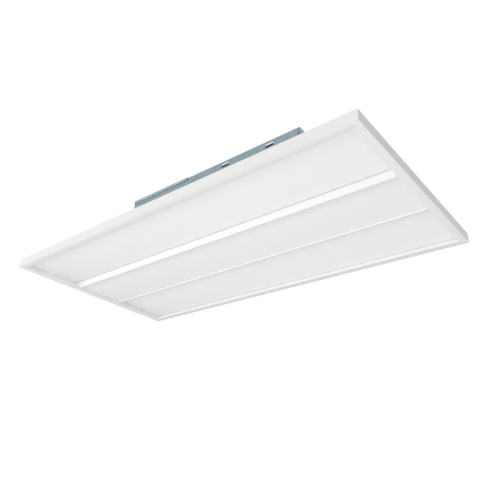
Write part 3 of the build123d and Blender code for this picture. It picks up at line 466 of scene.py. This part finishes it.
def turned_fixings(name, places, outline, lobes, material, slot, node):
    """Turned pieces that stand on places: the outline gives radius, height and share of the recess.

    Rings marked with a share take the recess' shape, a rounded cross or star with that many lobes.
    """
    tree = bpy.data.node_groups.new(name, "GeometryNodeTree")
    graph = Graph(tree)
    inputs = {}
    for label, kind in (
        ("Places", "NodeSocketGeometry"),
        ("Largest Radius", "NodeSocketFloat"),
        ("Height", "NodeSocketFloat"),
        ("Lobe Depth", "NodeSocketFloat"),
        ("Seed", "NodeSocketInt"),
        ("Material", "NodeSocketMaterial"),
    ):
        inputs[label] = tree.interface.new_socket(label, in_out="INPUT", socket_type=kind)
    tree.interface.new_socket("Fixings", in_out="OUTPUT", socket_type="NodeSocketGeometry")
    spots, radius, height, lobe_depth, seed, coat = graph.node("NodeGroupInput", out=tuple(inputs))

    reach = max(point[0] for point in outline)
    bottom = min(point[1] for point in outline)
    top = max(point[1] for point in outline)
    steps = len(outline) - 1
    ring = 24
    grid = {"Size X": 1.0, "Size Y": 1.0, "Vertices X": len(outline), "Vertices Y": ring + 1}
    strip = graph.node("GeometryNodeMeshGrid", None, grid)
    spot = graph.node("GeometryNodeInputPosition")
    along, around, _ = graph.node("ShaderNodeSeparateXYZ", None, {0: spot}, out=("X", "Y", "Z"))
    along = along + 0.5
    turn = (around + 0.5) * math.tau

    def followed(shares):
        curve = [(index / steps, share) for index, share in enumerate(shares)]
        return graph.node("ShaderNodeFloatCurve", {"curve": curve}, {"Value": along})

    share_out = followed([point[0] / reach for point in outline])
    share_up = followed([(point[1] - bottom) / (top - bottom) for point in outline])
    recess = followed([point[2] for point in outline])
    wave = turn.math("COSINE", turn * float(lobes))
    out = share_out * radius * (1.0 + recess * wave * lobe_depth)
    x = out * turn.math("COSINE", turn)
    y = out * turn.math("SINE", turn)
    z = share_up * height + bottom
    turned = graph.node("ShaderNodeCombineXYZ", None, {"X": x, "Y": y, "Z": z})
    lathe = graph.node("GeometryNodeSetPosition", None, {"Geometry": strip, "Position": turned})
    welded = graph.node("GeometryNodeMergeByDistance", None, {"Geometry": lathe, "Distance": 0.002 * mm})
    random_turn = graph.node(
        "FunctionNodeRandomValue",
        {"data_type": "FLOAT"},
        {"Min": 0.0, "Max": math.tau, "Seed": seed},
        out=1,
    )
    spin = graph.node("ShaderNodeCombineXYZ", None, {"Z": random_turn})
    stood = graph.node(
        "GeometryNodeInstanceOnPoints",
        None,
        {"Points": spots, "Instance": welded, "Rotation": spin},
    )
    real = graph.node("GeometryNodeRealizeInstances", None, {"Geometry": stood})
    coated = graph.node("GeometryNodeSetMaterial", None, {"Geometry": real, "Material": coat})
    graph.node("NodeGroupOutput", None, {0: coated}, out=None)

    points = bpy.data.meshes.new(name)
    points.from_pydata(places, [], [])
    piece = new_piece(name, points)
    builder = piece.modifiers.new("fixings", "NODES")
    builder.node_group = tree
    builder[inputs["Largest Radius"].identifier] = reach
    builder[inputs["Height"].identifier] = top - bottom
    builder[inputs["Lobe Depth"].identifier] = recess_lobe_depth
    builder[inputs["Seed"].identifier] = len(places)
    builder[inputs["Material"].identifier] = material
    settled(piece)

    shape = bmesh.new()
    shape.from_mesh(piece.data)
    bmesh.ops.recalc_face_normals(shape, faces=shape.faces)
    for face in shape.faces:
        face.smooth = True
    for edge in shape.edges:
        edge.smooth = edge.calc_face_angle(math.pi) < math.radians(35)
    shape.to_mesh(piece.data)
    shape.free()
    return fitted(piece, None, slot, node)


def island_tops(node):
    """For each separate solid of a CAD node: its middle, its lowest and its highest height."""
    shape = bmesh.new()
    shape.from_mesh(frame["nodes"][node].data)
    bmesh.ops.remove_doubles(shape, verts=shape.verts, dist=weld)
    left = set(shape.verts)
    found = []
    while left:
        heap = [left.pop()]
        group = []
        while heap:
            vertex = heap.pop()
            group.append(vertex.co.copy())
            for edge in vertex.link_edges:
                other = edge.other_vert(vertex)
                if other in left:
                    left.discard(other)
                    heap.append(other)
        low = Vector([min(p[i] for p in group) for i in range(3)])
        high = Vector([max(p[i] for p in group) for i in range(3)])
        found.append(((low + high) / 2, low.z, high.z))
    shape.free()
    return sorted(found, key=lambda item: (round(item[0].x, 4), round(item[0].y, 4)))


def pan_screw(shank):
    """Radius, height and share of the recess, from the bottom of the recess to the pointed tip."""
    return [
        (0.0, 0.35 * mm, 0.0),
        (0.55 * mm, 0.38 * mm, 1.0),
        (1.45 * mm, 1.18 * mm, 1.0),
        (1.62 * mm, 1.26 * mm, 0.8),
        (2.15 * mm, 1.22 * mm, 0.0),
        (2.75 * mm, 1.02 * mm, 0.0),
        (3.12 * mm, 0.70 * mm, 0.0),
        (3.28 * mm, 0.34 * mm, 0.0),
        (3.30 * mm, 0.10 * mm, 0.0),
        (3.22 * mm, 0.0, 0.0),
        (1.55 * mm, 0.0, 0.0),
        (1.55 * mm, -(shank - 1.1 * mm), 0.0),
        (1.05 * mm, -(shank - 0.4 * mm), 0.0),
        (0.0, -shank, 0.0),
    ]


def head_seats(node):
    """Where the heads of a node's screws sit on the sheet."""
    return [(middle.x, middle.y, high - head_height) for middle, _, high in island_tops(node)]


head_height = 1.3 * mm
sheet_shank = 5.0 * mm
screw_zinc = plated("screw_zinc", 0.66, 0.010, 0.24)
cross_lobes = 4
turned_fixings(
    "plate_pan_screws",
    head_seats("plate_screws"),
    pan_screw(sheet_shank),
    cross_lobes,
    screw_zinc,
    "zinc_fixing",
    "plate_screws",
)

# ---- Reflector panels ----
# Two wings and a centre panel folded from steel sheet, coated a whiter, more matt white than the
# # rails. Each panel's level and the bands along some folds are painted light and shade, fitted to the
# # shading: dark bands are painted shadow behind the light bars and along the far wing's outer fold,
# # light bands are painted highlights at the near wing's outer edge and the centre panel's far fold.
panel_coats = {
    "wing_near": (0.944, ((-275.7 * mm, 25 * mm, 1.0, 1.035),)),
    "centre_panel": (0.910, ((-79.3 * mm, 50 * mm, 0.30, 0.5), (79.3 * mm, -6 * mm, 1.0, 1.08))),
    "wing_far": (0.922, ((96.3 * mm, 45 * mm, 0.32, 0.5), (275.7 * mm, -6 * mm, 0.9, 0.5))),
}
for node, (level, painted_light_and_shade_bands) in panel_coats.items():
    paint = powder_coat(f"matt_white_coat_{node}", level, 0.48, 0.20, painted_light_and_shade_bands)
    eased(node, f"coated_{node}", paint, "white_panel", 0.2 * mm, 0.8 * mm, 0.7 * mm)

# ---- LED carriers ----
# Mill-finish aluminium extrusions that carry the boards and hold the lenses. Die lines run along them.
drawn = Finish("mill_aluminium")
die_lines = drawn.noise(900.0, 2.0, drawn.stretched((0.012, 1.0, 1.0)))
stains = drawn.noise(40.0, 2.0)
mill_aluminium = drawn.set({
    "Base Color": drawn.mix(die_lines * 0.7 + stains * 0.3, grey(0.60, -0.01), grey(0.78, 0.0)),
    "Metallic": 1.0,
    "Roughness": die_lines * 0.18 + 0.24,
    "Normal": drawn.bump(die_lines, 0.15, 0.02 * mm),
})
for side in ("near", "far"):
    eased(f"carrier_{side}", f"extruded_carrier_{side}", mill_aluminium, "bare_aluminium", 0.2 * mm)

# ---- Lenses and end caps ----
# Opal acrylic, extruded to a V with one upright and one sloping leg. Its ends are plugged by moulded
# caps of the same plastic. It has only a trace of glow, because the photograph's light is around it.


def opal(name, glow):
    """Opal acrylic with a trace of glow that beats with the LED pitch.

    The tones along X, beside the wings and on the upright leg are painted light and shade: darker
    towards +X and under the wings' edges is painted shade, the lighter upright leg is painted light.
    The tones along X, beside the wings and on the upright leg are fitted to the photograph.
    """
    acrylic = Finish(name)
    x, y, _ = acrylic.node("ShaderNodeSeparateXYZ", None, {0: acrylic.place}, out=("X", "Y", "Z"))
    beat = x.math("COSINE", x * (math.tau / (20 * mm)))
    haze = acrylic.noise(60.0, 2.0)
    light = beat * 0.010 + (haze - 0.5) * 0.03 + 0.97
    across = y.math("ABSOLUTE", y)
    # Painted shade: the sloping leg darkens under the wing's edge and towards +X.
    painted_shade_under_wing = acrylic.ramp(across, 93.2 * mm, 94.2 * mm)
    painted_shade_to_right = acrylic.ramp(x, -0.1, 0.5)
    left_tone = acrylic.mix(haze, off_white(0.880), off_white(0.900))
    right_tone = acrylic.mix(haze, off_white(0.826), off_white(0.846))
    sloping = acrylic.mix(painted_shade_under_wing * 0.4, acrylic.mix(painted_shade_to_right, left_tone, right_tone), grey(0.40))
    # The upright leg is painted lighter, a painted highlight, and gets most of the glow.
    upright = acrylic.ramp(across, 82.5 * mm, 81.7 * mm)
    return acrylic.set({
        "Base Color": acrylic.mix(upright, sloping, grey(0.945)),
        "Roughness": haze * 0.08 + 0.28,
        "Emission Color": acrylic.mix(light * (upright * 0.8 + 0.2), grey(0.0), off_white(1.0)),
        "Emission Strength": glow,
        "IOR": 1.49,
        "Normal": acrylic.bump(acrylic.noise(500.0, 1.0), 0.05, 0.03 * mm),
    })


lens_glow = 0.05
cap_share_of_glow = 0.3
opal_acrylic = opal("opal_acrylic", lens_glow)
for side in ("near", "far"):
    eased(f"lens_{side}", f"opal_lens_{side}", opal_acrylic, "opal_lens", 0.3 * mm)
cap_acrylic = opal("cap_acrylic", lens_glow * cap_share_of_glow)
eased("bar_end_caps", "moulded_end_caps", cap_acrylic, "opal_lens", 0.25 * mm)

# ---- LED boards, chips and lead sockets ----
# Long aluminium-core boards with a white mask, a row of packages under yellow phosphor, and a
# white socket above each bar where its lead arrives.
board = Finish("white_mask_board")
weave = board.noise(300.0, 2.0)
board_x, _, _ = board.node("ShaderNodeSeparateXYZ", None, {0: board.place}, out=("X", "Y", "Z"))
pads = board_x.math("PINGPONG", board_x, 10 * mm) < 1.4 * mm
white_mask = board.set({
    "Base Color": board.mix(pads * 0.5 + weave * 0.1, grey(0.84), grey(0.62, 0.03)),
    "Roughness": weave * 0.10 + 0.36,
    "Normal": board.bump(pads, 0.20, 0.03 * mm),
})
eased("led_boards", "white_led_boards", white_mask, "board", 0.1 * mm)

phosphor = Finish("yellow_phosphor")
grain = phosphor.noise(1400.0, 2.0)
yellow_phosphor = phosphor.set({
    "Base Color": phosphor.mix(grain, (0.86, 0.66, 0.14, 1.0), (0.93, 0.78, 0.28, 1.0)),
    "Roughness": grain * 0.15 + 0.35,
    "Emission Color": (1.0, 0.93, 0.75, 1.0),
    "Emission Strength": 0.6,
})
for side in ("near", "far"):
    eased(f"led_chips_{side}", f"phosphor_chips_{side}", yellow_phosphor, "phosphor", 0.15 * mm)


def moulded(name, colour, roughness, texture=900.0):
    """Injection-moulded plastic: a faint spark-eroded skin, slightly shinier where it is handled."""
    plastic = Finish(name)
    skin = plastic.noise(texture, 2.0)
    sink = plastic.noise(45.0, 2.0)
    deeper = tuple(channel * 0.90 for channel in colour[:3]) + (1.0,)
    paler = tuple(min(channel * 1.06, 0.95) for channel in colour[:3]) + (1.0,)
    return plastic.set({
        "Base Color": plastic.mix(sink * 0.6 + skin * 0.4, deeper, paler),
        "Roughness": (sink - 0.5) * 0.12 + (skin - 0.5) * 0.10 + roughness,
        "Normal": plastic.bump(skin, 0.12, 0.04 * mm),
        "IOR": 1.52,
    })


white_nylon = moulded("natural_nylon", (0.84, 0.83, 0.79, 1.0), 0.42)
eased("lead_sockets", "nylon_lead_sockets", white_nylon, "white_nylon", 0.3 * mm)

# ---- Panel rivets ----
# Aluminium blind rivets: a low dome above with the broken mandrel in its eye, a bulb below the lip.


def blind_rivet(grip):
    return [
        (0.0, 0.36 * mm, 0.0),
        (0.62 * mm, 0.36 * mm, 0.0),
        (0.66 * mm, 0.20 * mm, 0.0),
        (0.84 * mm, 0.20 * mm, 0.0),
        (0.90 * mm, 0.86 * mm, 0.0),
        (1.60 * mm, 0.84 * mm, 0.0),
        (2.30 * mm, 0.66 * mm, 0.0),
        (2.80 * mm, 0.36 * mm, 0.0),
        (3.00 * mm, 0.08 * mm, 0.0),
        (2.92 * mm, 0.0, 0.0),
        (1.58 * mm, 0.0, 0.0),
        (1.58 * mm, -grip, 0.0),
        (2.05 * mm, -grip - 0.25 * mm, 0.0),
        (2.20 * mm, -grip - 0.75 * mm, 0.0),
        (1.60 * mm, -grip - 1.35 * mm, 0.0),
        (0.0, -grip - 1.5 * mm, 0.0),
    ]


rivet_metal = Finish("rivet_aluminium")
dulled = rivet_metal.noise(500.0, 2.0)
rivet_aluminium = rivet_metal.set({
    "Base Color": rivet_metal.mix(dulled, grey(0.58), grey(0.74)),
    "Metallic": 1.0,
    "Roughness": dulled * 0.2 + 0.26,
    "Normal": rivet_metal.bump(dulled, 0.1, 0.03 * mm),
})
rivet_head_height = 0.9 * mm
rivet_tail_height = 1.5 * mm
rivet_islands = island_tops("panel_rivets")
plate_top = rivet_islands[0][2] - rivet_head_height
rivet_spots = [(middle.x, middle.y, plate_top) for middle, _, _ in rivet_islands]
deepest_grip = max(plate_top - low - rivet_tail_height for _, low, _ in rivet_islands)
turned_fixings(
    "panel_blind_rivets",
    rivet_spots,
    blind_rivet(deepest_grip),
    0,
    rivet_aluminium,
    "bare_aluminium",
    "panel_rivets",
)

# ---- Gear tray ----
# A box folded from one galvanised sheet, with open corner seams, two catch slots and hinge ears.
tray_sheet = 0.8 * mm
tray_bend = 0.6 * mm
eased("gear_tray", "folded_gear_tray", galvanised_sheet, "galvanised", 0.2 * mm, tray_bend, tray_sheet)
turned_fixings(
    "tray_pan_screws",
    head_seats("tray_screws"),
    pan_screw(sheet_shank),
    cross_lobes,
    screw_zinc,
    "zinc_fixing",
    "tray_screws",
)
eased("partition", "folded_partition", galvanised_sheet, "galvanised", 0.2 * mm, tray_bend, tray_sheet)

# ---- Bushings, grommets and the cable inlet ----
# Soft black rubber, pushed into the holes so that no lead or cable rubs on a sheet's edge.
rubber = Finish("black_rubber")
bloom = rubber.noise(120.0, 3.0)
pores = rubber.noise(1100.0, 2.0)
black_rubber = rubber.set({
    "Base Color": rubber.mix(bloom, grey(0.018), grey(0.042)),
    "Roughness": bloom * 0.15 + 0.55,
    "Normal": rubber.bump(pores, 0.25, 0.05 * mm),
    "Sheen Weight": 0.15,
})
eased("lead_bushings", "rubber_lead_bushings", black_rubber, "black_rubber", 0.3 * mm)
eased("plate_grommets", "rubber_plate_grommets", black_rubber, "black_rubber", 0.25 * mm)
eased("inlet_grommet", "rubber_inlet_grommet", black_rubber, "black_rubber", 0.0)

# ---- Cover catches ----
# White nylon blocks snapped into the upper half of the near wall's slots.
catch_nylon = moulded("catch_nylon", (0.93, 0.93, 0.92, 1.0), 0.36)
catch_shape = merged("cover_catches")
catch_low = min(vertex.co.z for vertex in catch_shape.verts)
catch_back = max(vertex.co.y for vertex in catch_shape.verts)
catch_rise = 3.1 * mm
catch_reach = 3.0 * mm
wall_inside = Vector((0, catch_back - catch_reach, 0))
geometry = catch_shape.verts[:] + catch_shape.edges[:] + catch_shape.faces[:]
bmesh.ops.bisect_plane(
    catch_shape, geom=geometry, dist=cut_tolerance, plane_co=wall_inside, plane_no=(0, 1, 0)
)
for vertex in catch_shape.verts:
    if vertex.co.z < catch_low + hair and vertex.co.y > catch_back - hair:
        vertex.co.z += catch_rise
eased("cover_catches", "nylon_cover_catches", catch_nylon, "white_nylon", 0.2 * mm, shape=catch_shape)

# ---- Hinged covers ----
# Galvanised lids. The wiring cover laps over the walls with a hemmed lip, the gear cover's lips go
# # inside. Each has a rolled edge on a pin. The hem is painted paler and less metallic, a painted
# # highlight along the lip's lower edge, fitted to the shading.
hem_height = 2.4 * mm
hem_round = 0.78 * mm


def hemmed(node):
    """The shape of a cover: its folds round, the hem along the near lip closed to a full round."""
    piece = new_piece("hem", bpy.data.meshes.new("hem"))
    shaded(piece, merged(node))
    low = min(vertex.co.z for vertex in piece.data.vertices)

    def hem_edges(shape):
        for edge in shape.edges:
            ends = [vertex.co for vertex in edge.verts]
            if abs(ends[0].x - ends[1].x) > 50 * mm and all(co.z < low + hair for co in ends):
                yield edge, 1.0

    def fold_edges(shape):
        for outer, inner in folds(shape, tray_sheet):
            ends = [vertex.co for vertex in outer.verts]
            upright = abs(ends[0].z - ends[1].z) > hair
            if not upright and ends[0].z > low + hem_height + hair:
                yield outer, 1.0
                yield inner, tray_bend / (tray_bend + tray_sheet)

    bevelled(piece, hem_round, 5, hem_edges)
    bevelled(piece, tray_bend + tray_sheet, 4, fold_edges)
    shape = bmesh.new()
    shape.from_mesh(piece.data)
    bpy.data.objects.remove(piece)
    return shape


lid = eased(
    "wiring_cover",
    "folded_wiring_cover",
    galvanised_sheet,
    "galvanised",
    0.2 * mm,
    shape=hemmed("wiring_cover"),
)
# A paler, less metallic copy of the sheet paints a highlight on the hem's faces.
hem_highlight_light = (0.60, 0.69, 0.73, 1.0)
hem_highlight_dark = (0.48, 0.57, 0.61, 1.0)
lid.data.materials.append(galvanised("painted_highlight_hem", hem_highlight_light, hem_highlight_dark, spangle_size, 0.2))
hem_low = min(vertex.co.z for vertex in lid.data.vertices)
hem_face_y = min(vertex.co.y for vertex in lid.data.vertices) + 2 * hem_round
for face in lid.data.polygons:
    if face.center.z < hem_low + hem_height and face.center.y < hem_face_y:
        face.material_index = 1
eased("gear_cover", "folded_gear_cover", galvanised_sheet, "galvanised", 0.2 * mm, tray_bend, tray_sheet)
eased("hinge_pins", "steel_hinge_pins", zinc_plate, "zinc_fixing", 0.3 * mm)

# ---- Driver ----
# A long moulded case that turns mains into low-voltage current, screwed down by two thin tabs.
case_low = min(corner[2] for corner in frame["nodes"]["led_driver"].bound_box)
case_high = max(corner[2] for corner in frame["nodes"]["led_driver"].bound_box)
parting_share = 0.62
parting_height = case_low + parting_share * (case_high - case_low)
case_finish = Finish("driver_case")
_, _, case_z = case_finish.node(
    "ShaderNodeSeparateXYZ", None, {0: case_finish.place}, out=("X", "Y", "Z")
)
parting = (case_z - parting_height).math("ABSOLUTE", case_z - parting_height) < 0.25 * mm
pebble = case_finish.noise(1300.0, 2.0)
sunk = case_finish.noise(25.0, 2.0)
case_plastic = case_finish.set({
    "Base Color": case_finish.mix(parting * 0.7 + sunk * 0.25, grey(0.79, -0.004), grey(0.50, -0.004)),
    "Roughness": (pebble - 0.5) * 0.12 + (sunk - 0.5) * 0.12 + 0.46,
    "Normal": case_finish.bump(pebble * 0.3 - parting, 0.35, 0.20 * mm),
    "IOR": 1.52,
})
eased("led_driver", "moulded_driver_case", case_plastic, "driver_case", 0.35 * mm)
terminal_plastic = moulded("terminal_grey", (0.33, 0.34, 0.35, 1.0), 0.44)
eased("driver_terminals", "driver_end_terminals", terminal_plastic, "grey_nylon", 0.4 * mm)
driver_shank = 0.9 * mm
turned_fixings(
    "driver_pan_screws",
    head_seats("driver_screws"),
    pan_screw(driver_shank),
    cross_lobes,
    screw_zinc,
    "zinc_fixing",
    "driver_screws",
)

# ---- Terminal block and earth screw ----
# A grey block with an orange clamping lever for each core. The earth screw bites the tray's floor.
eased("terminal_block", "moulded_terminal_block", terminal_plastic, "grey_nylon", 0.25 * mm)
lever_plastic = moulded("lever_orange", (0.86, 0.25, 0.03, 1.0), 0.36)
for pole in ("live", "neutral", "earth"):
    eased(f"terminal_lever_{pole}", f"orange_lever_{pole}", lever_plastic, "orange_nylon", 0.25 * mm)
eased("earth_screw", "earth_screw_and_washer", screw_zinc, "zinc_fixing", 0.2 * mm)

# ---- Leads and saddles ----
# Three PVC cores from the block to the driver, two round leads from the driver to the light bars,
# one of them clipped down in nylon saddles.


def sheath(name, colour, roughness=0.42):
    vinyl = Finish(name)
    skin = vinyl.noise(600.0, 2.0)
    smears = vinyl.noise(60.0, 2.0)
    deeper = tuple(channel * 0.88 for channel in colour[:3]) + (1.0,)
    return vinyl.set({
        "Base Color": vinyl.mix(smears, deeper, colour),
        "Roughness": (smears - 0.5) * 0.2 + roughness,
        "Normal": vinyl.bump(skin, 0.08, 0.04 * mm),
    })


core_colours = (
    sheath("brown_core", (0.20, 0.075, 0.03, 1.0)),
    sheath("blue_core", (0.03, 0.13, 0.50, 1.0)),
    sheath("green_yellow_core", (0.55, 0.62, 0.06, 1.0)),
)
cores = eased("supply_leads", "supply_cores", core_colours[0], "lead_sheath", 0.0)
for finish in core_colours[1:]:
    cores.data.materials.append(finish)
core_shape = bmesh.new()
core_shape.from_mesh(cores.data)
left = set(core_shape.faces)
islands = []
while left:
    heap = [left.pop()]
    island = []
    while heap:
        face = heap.pop()
        island.append(face)
        for edge in face.edges:
            for other in edge.link_faces:
                if other in left:
                    left.discard(other)
                    heap.append(other)
    islands.append(island)
start_of = [min(island, key=lambda face: face.calc_center_median().x) for island in islands]
order = sorted(range(len(islands)), key=lambda index: start_of[index].calc_center_median().x)
for rank, index in enumerate(order):
    for face in islands[index]:
        face.material_index = rank % len(core_colours)
core_shape.to_mesh(cores.data)
core_shape.free()
output_sheath = sheath("white_sheath", (0.80, 0.80, 0.78, 1.0))
for side in ("near", "far"):
    eased(f"output_lead_{side}", f"sheathed_output_lead_{side}", output_sheath, "lead_sheath", 0.0)
eased("lead_saddles", "nylon_lead_saddles", white_nylon, "white_nylon", 0.25 * mm)

# ---- Swing clips ----
# Zinc-plated strips on riveted brackets. Turned outwards, they lie over the ceiling grid's bars.
eased("clip_brackets", "folded_clip_brackets", zinc_plate, "zinc_fixing", 0.3 * mm)
eased("clip_rivets", "clip_pivot_rivets", rivet_aluminium, "bare_aluminium", 0.2 * mm)
for place in ("near_left", "near_right", "far_left", "far_right"):
    eased(f"grid_clip_{place}", f"plated_clip_{place}", zinc_plate, "zinc_fixing", 0.3 * mm)

# ---- Room: floor, light and camera ----
# A pale floor at a ceiling's height below the luminaire, soft white surroundings, and six soft
# lamps: five from below, at the near side and the right, one from behind.
floor_depth = 2.6
floor_half = 9.0
floor_lift = 0.42
room_strength = 0.51


def in_sight(graph):
    """1 for rays that show a surface to the camera, straight, mirrored or through glass."""
    straight, mirrored, through = graph.node(
        "ShaderNodeLightPath", out=("Is Camera Ray", "Is Glossy Ray", "Is Transmission Ray")
    )
    either = straight.math("MAXIMUM", straight, mirrored)
    return either.math("MAXIMUM", either, through)


floor_mesh = bpy.data.meshes.new("floor")
corner_signs = ((-1, -1), (1, -1), (1, 1), (-1, 1))
floor_corners = [(x * floor_half, y * floor_half, -floor_depth) for x, y in corner_signs]
floor_mesh.from_pydata(floor_corners, [], [(0, 1, 2, 3)])
floor = new_piece("floor", floor_mesh)
ground = Finish("pale_floor")
floor_wear = ground.noise(0.8, 2.0)
ground.set({
    "Base Color": ground.mix(floor_wear, grey(0.86), grey(0.90)),
    "Roughness": floor_wear * 0.1 + 0.6,
})
floor_seen = in_sight(ground)
lift = ground.node("ShaderNodeEmission", None, {"Color": grey(1.0), "Strength": floor_lift})
nothing = ground.node("ShaderNodeEmission", None, {"Color": grey(0.0), "Strength": 0.0})
added = ground.node("ShaderNodeMixShader", None, {0: floor_seen, 1: nothing, 2: lift})
diffuse_floor = Socket(ground, ground.shader.outputs[0])
total = ground.node("ShaderNodeAddShader", None, {0: diffuse_floor, 1: added})
ground.tree.links.new(total.output, ground.tree.nodes["Material Output"].inputs["Surface"])
floor.data.materials.append(ground.material)

world = bpy.data.worlds.new("white_room")
bpy.context.scene.world = world
world.use_nodes = True
sky = Graph(world.node_tree)
sky.tree.nodes.clear()
seen = in_sight(sky)
room_light = sky.node("ShaderNodeBackground", None, {"Color": grey(1.0), "Strength": room_strength})
room_white = sky.node("ShaderNodeBackground", None, {"Color": grey(1.0), "Strength": 1.0})
surroundings = sky.node("ShaderNodeMixShader", None, {0: seen, 1: room_light, 2: room_white})
sky.node("ShaderNodeOutputWorld", None, {0: surroundings}, out=None)


def lamp(name, place, target, size, power):
    light = bpy.data.lights.new(name, "AREA")
    light.shape = "SQUARE"
    light.size = size
    light.energy = power
    holder = bpy.data.objects.new(name, light)
    holder.location = place
    holder.rotation_euler = (Vector(target) - Vector(place)).to_track_quat("-Z", "Y").to_euler()
    holder.visible_camera = False
    bpy.context.scene.collection.objects.link(holder)
    return holder


lamp("lamp_below", (0.1, -0.3, -2.4), (0.1, 0.0, 0.0), 2.0, 13.2)
lamp("lamp_near_low", (0.6, -3.2, -0.6), (0.1, 0.0, 0.0), 0.8, 18.0)
lamp("lamp_near", (0.2, -3.0, -1.2), (0.1, 0.0, 0.0), 1.0, 10.0)
lamp("lamp_near_left", (-2.6, -2.4, -0.5), (-0.2, 0.0, 0.0), 1.6, 25.0)
lamp("lamp_right", (2.4, -0.6, -1.9), (0.1, 0.0, 0.0), 2.0, 8.0)
lamp("lamp_behind", (-1.6, 2.6, 1.6), (0.0, 0.0, 0.0), 2.0, 20.0)

# The camera stands below the near right corner and looks up at the luminaire's face.
camera_place = Vector((0.95259, -1.01752, -0.67888))
camera_heading = math.radians(40.682)
camera_climb = math.radians(27.392)
camera_roll = math.radians(-3.257)
focal_pixels = 536.14
picture_side = 488
sensor = 36.0
forward = Vector((
    -math.sin(camera_heading) * math.cos(camera_climb),
    math.cos(camera_heading) * math.cos(camera_climb),
    math.sin(camera_climb),
))
level_right = forward.cross(Vector((0, 0, 1))).normalized()
level_down = forward.cross(level_right)
right = math.cos(camera_roll) * level_right + math.sin(camera_roll) * level_down
down = math.cos(camera_roll) * level_down - math.sin(camera_roll) * level_right
camera_data = bpy.data.cameras.new("camera")
camera_data.sensor_width = sensor
camera_data.lens = sensor * focal_pixels / picture_side
camera_data.clip_start = 0.01
camera = bpy.data.objects.new("camera", camera_data)
turned = Matrix((right, -down, -forward)).transposed().to_4x4()
camera.matrix_world = Matrix.Translation(camera_place) @ turned
bpy.context.scene.collection.objects.link(camera)
bpy.context.scene.camera = camera
bpy.context.scene.view_settings.view_transform = "Standard"
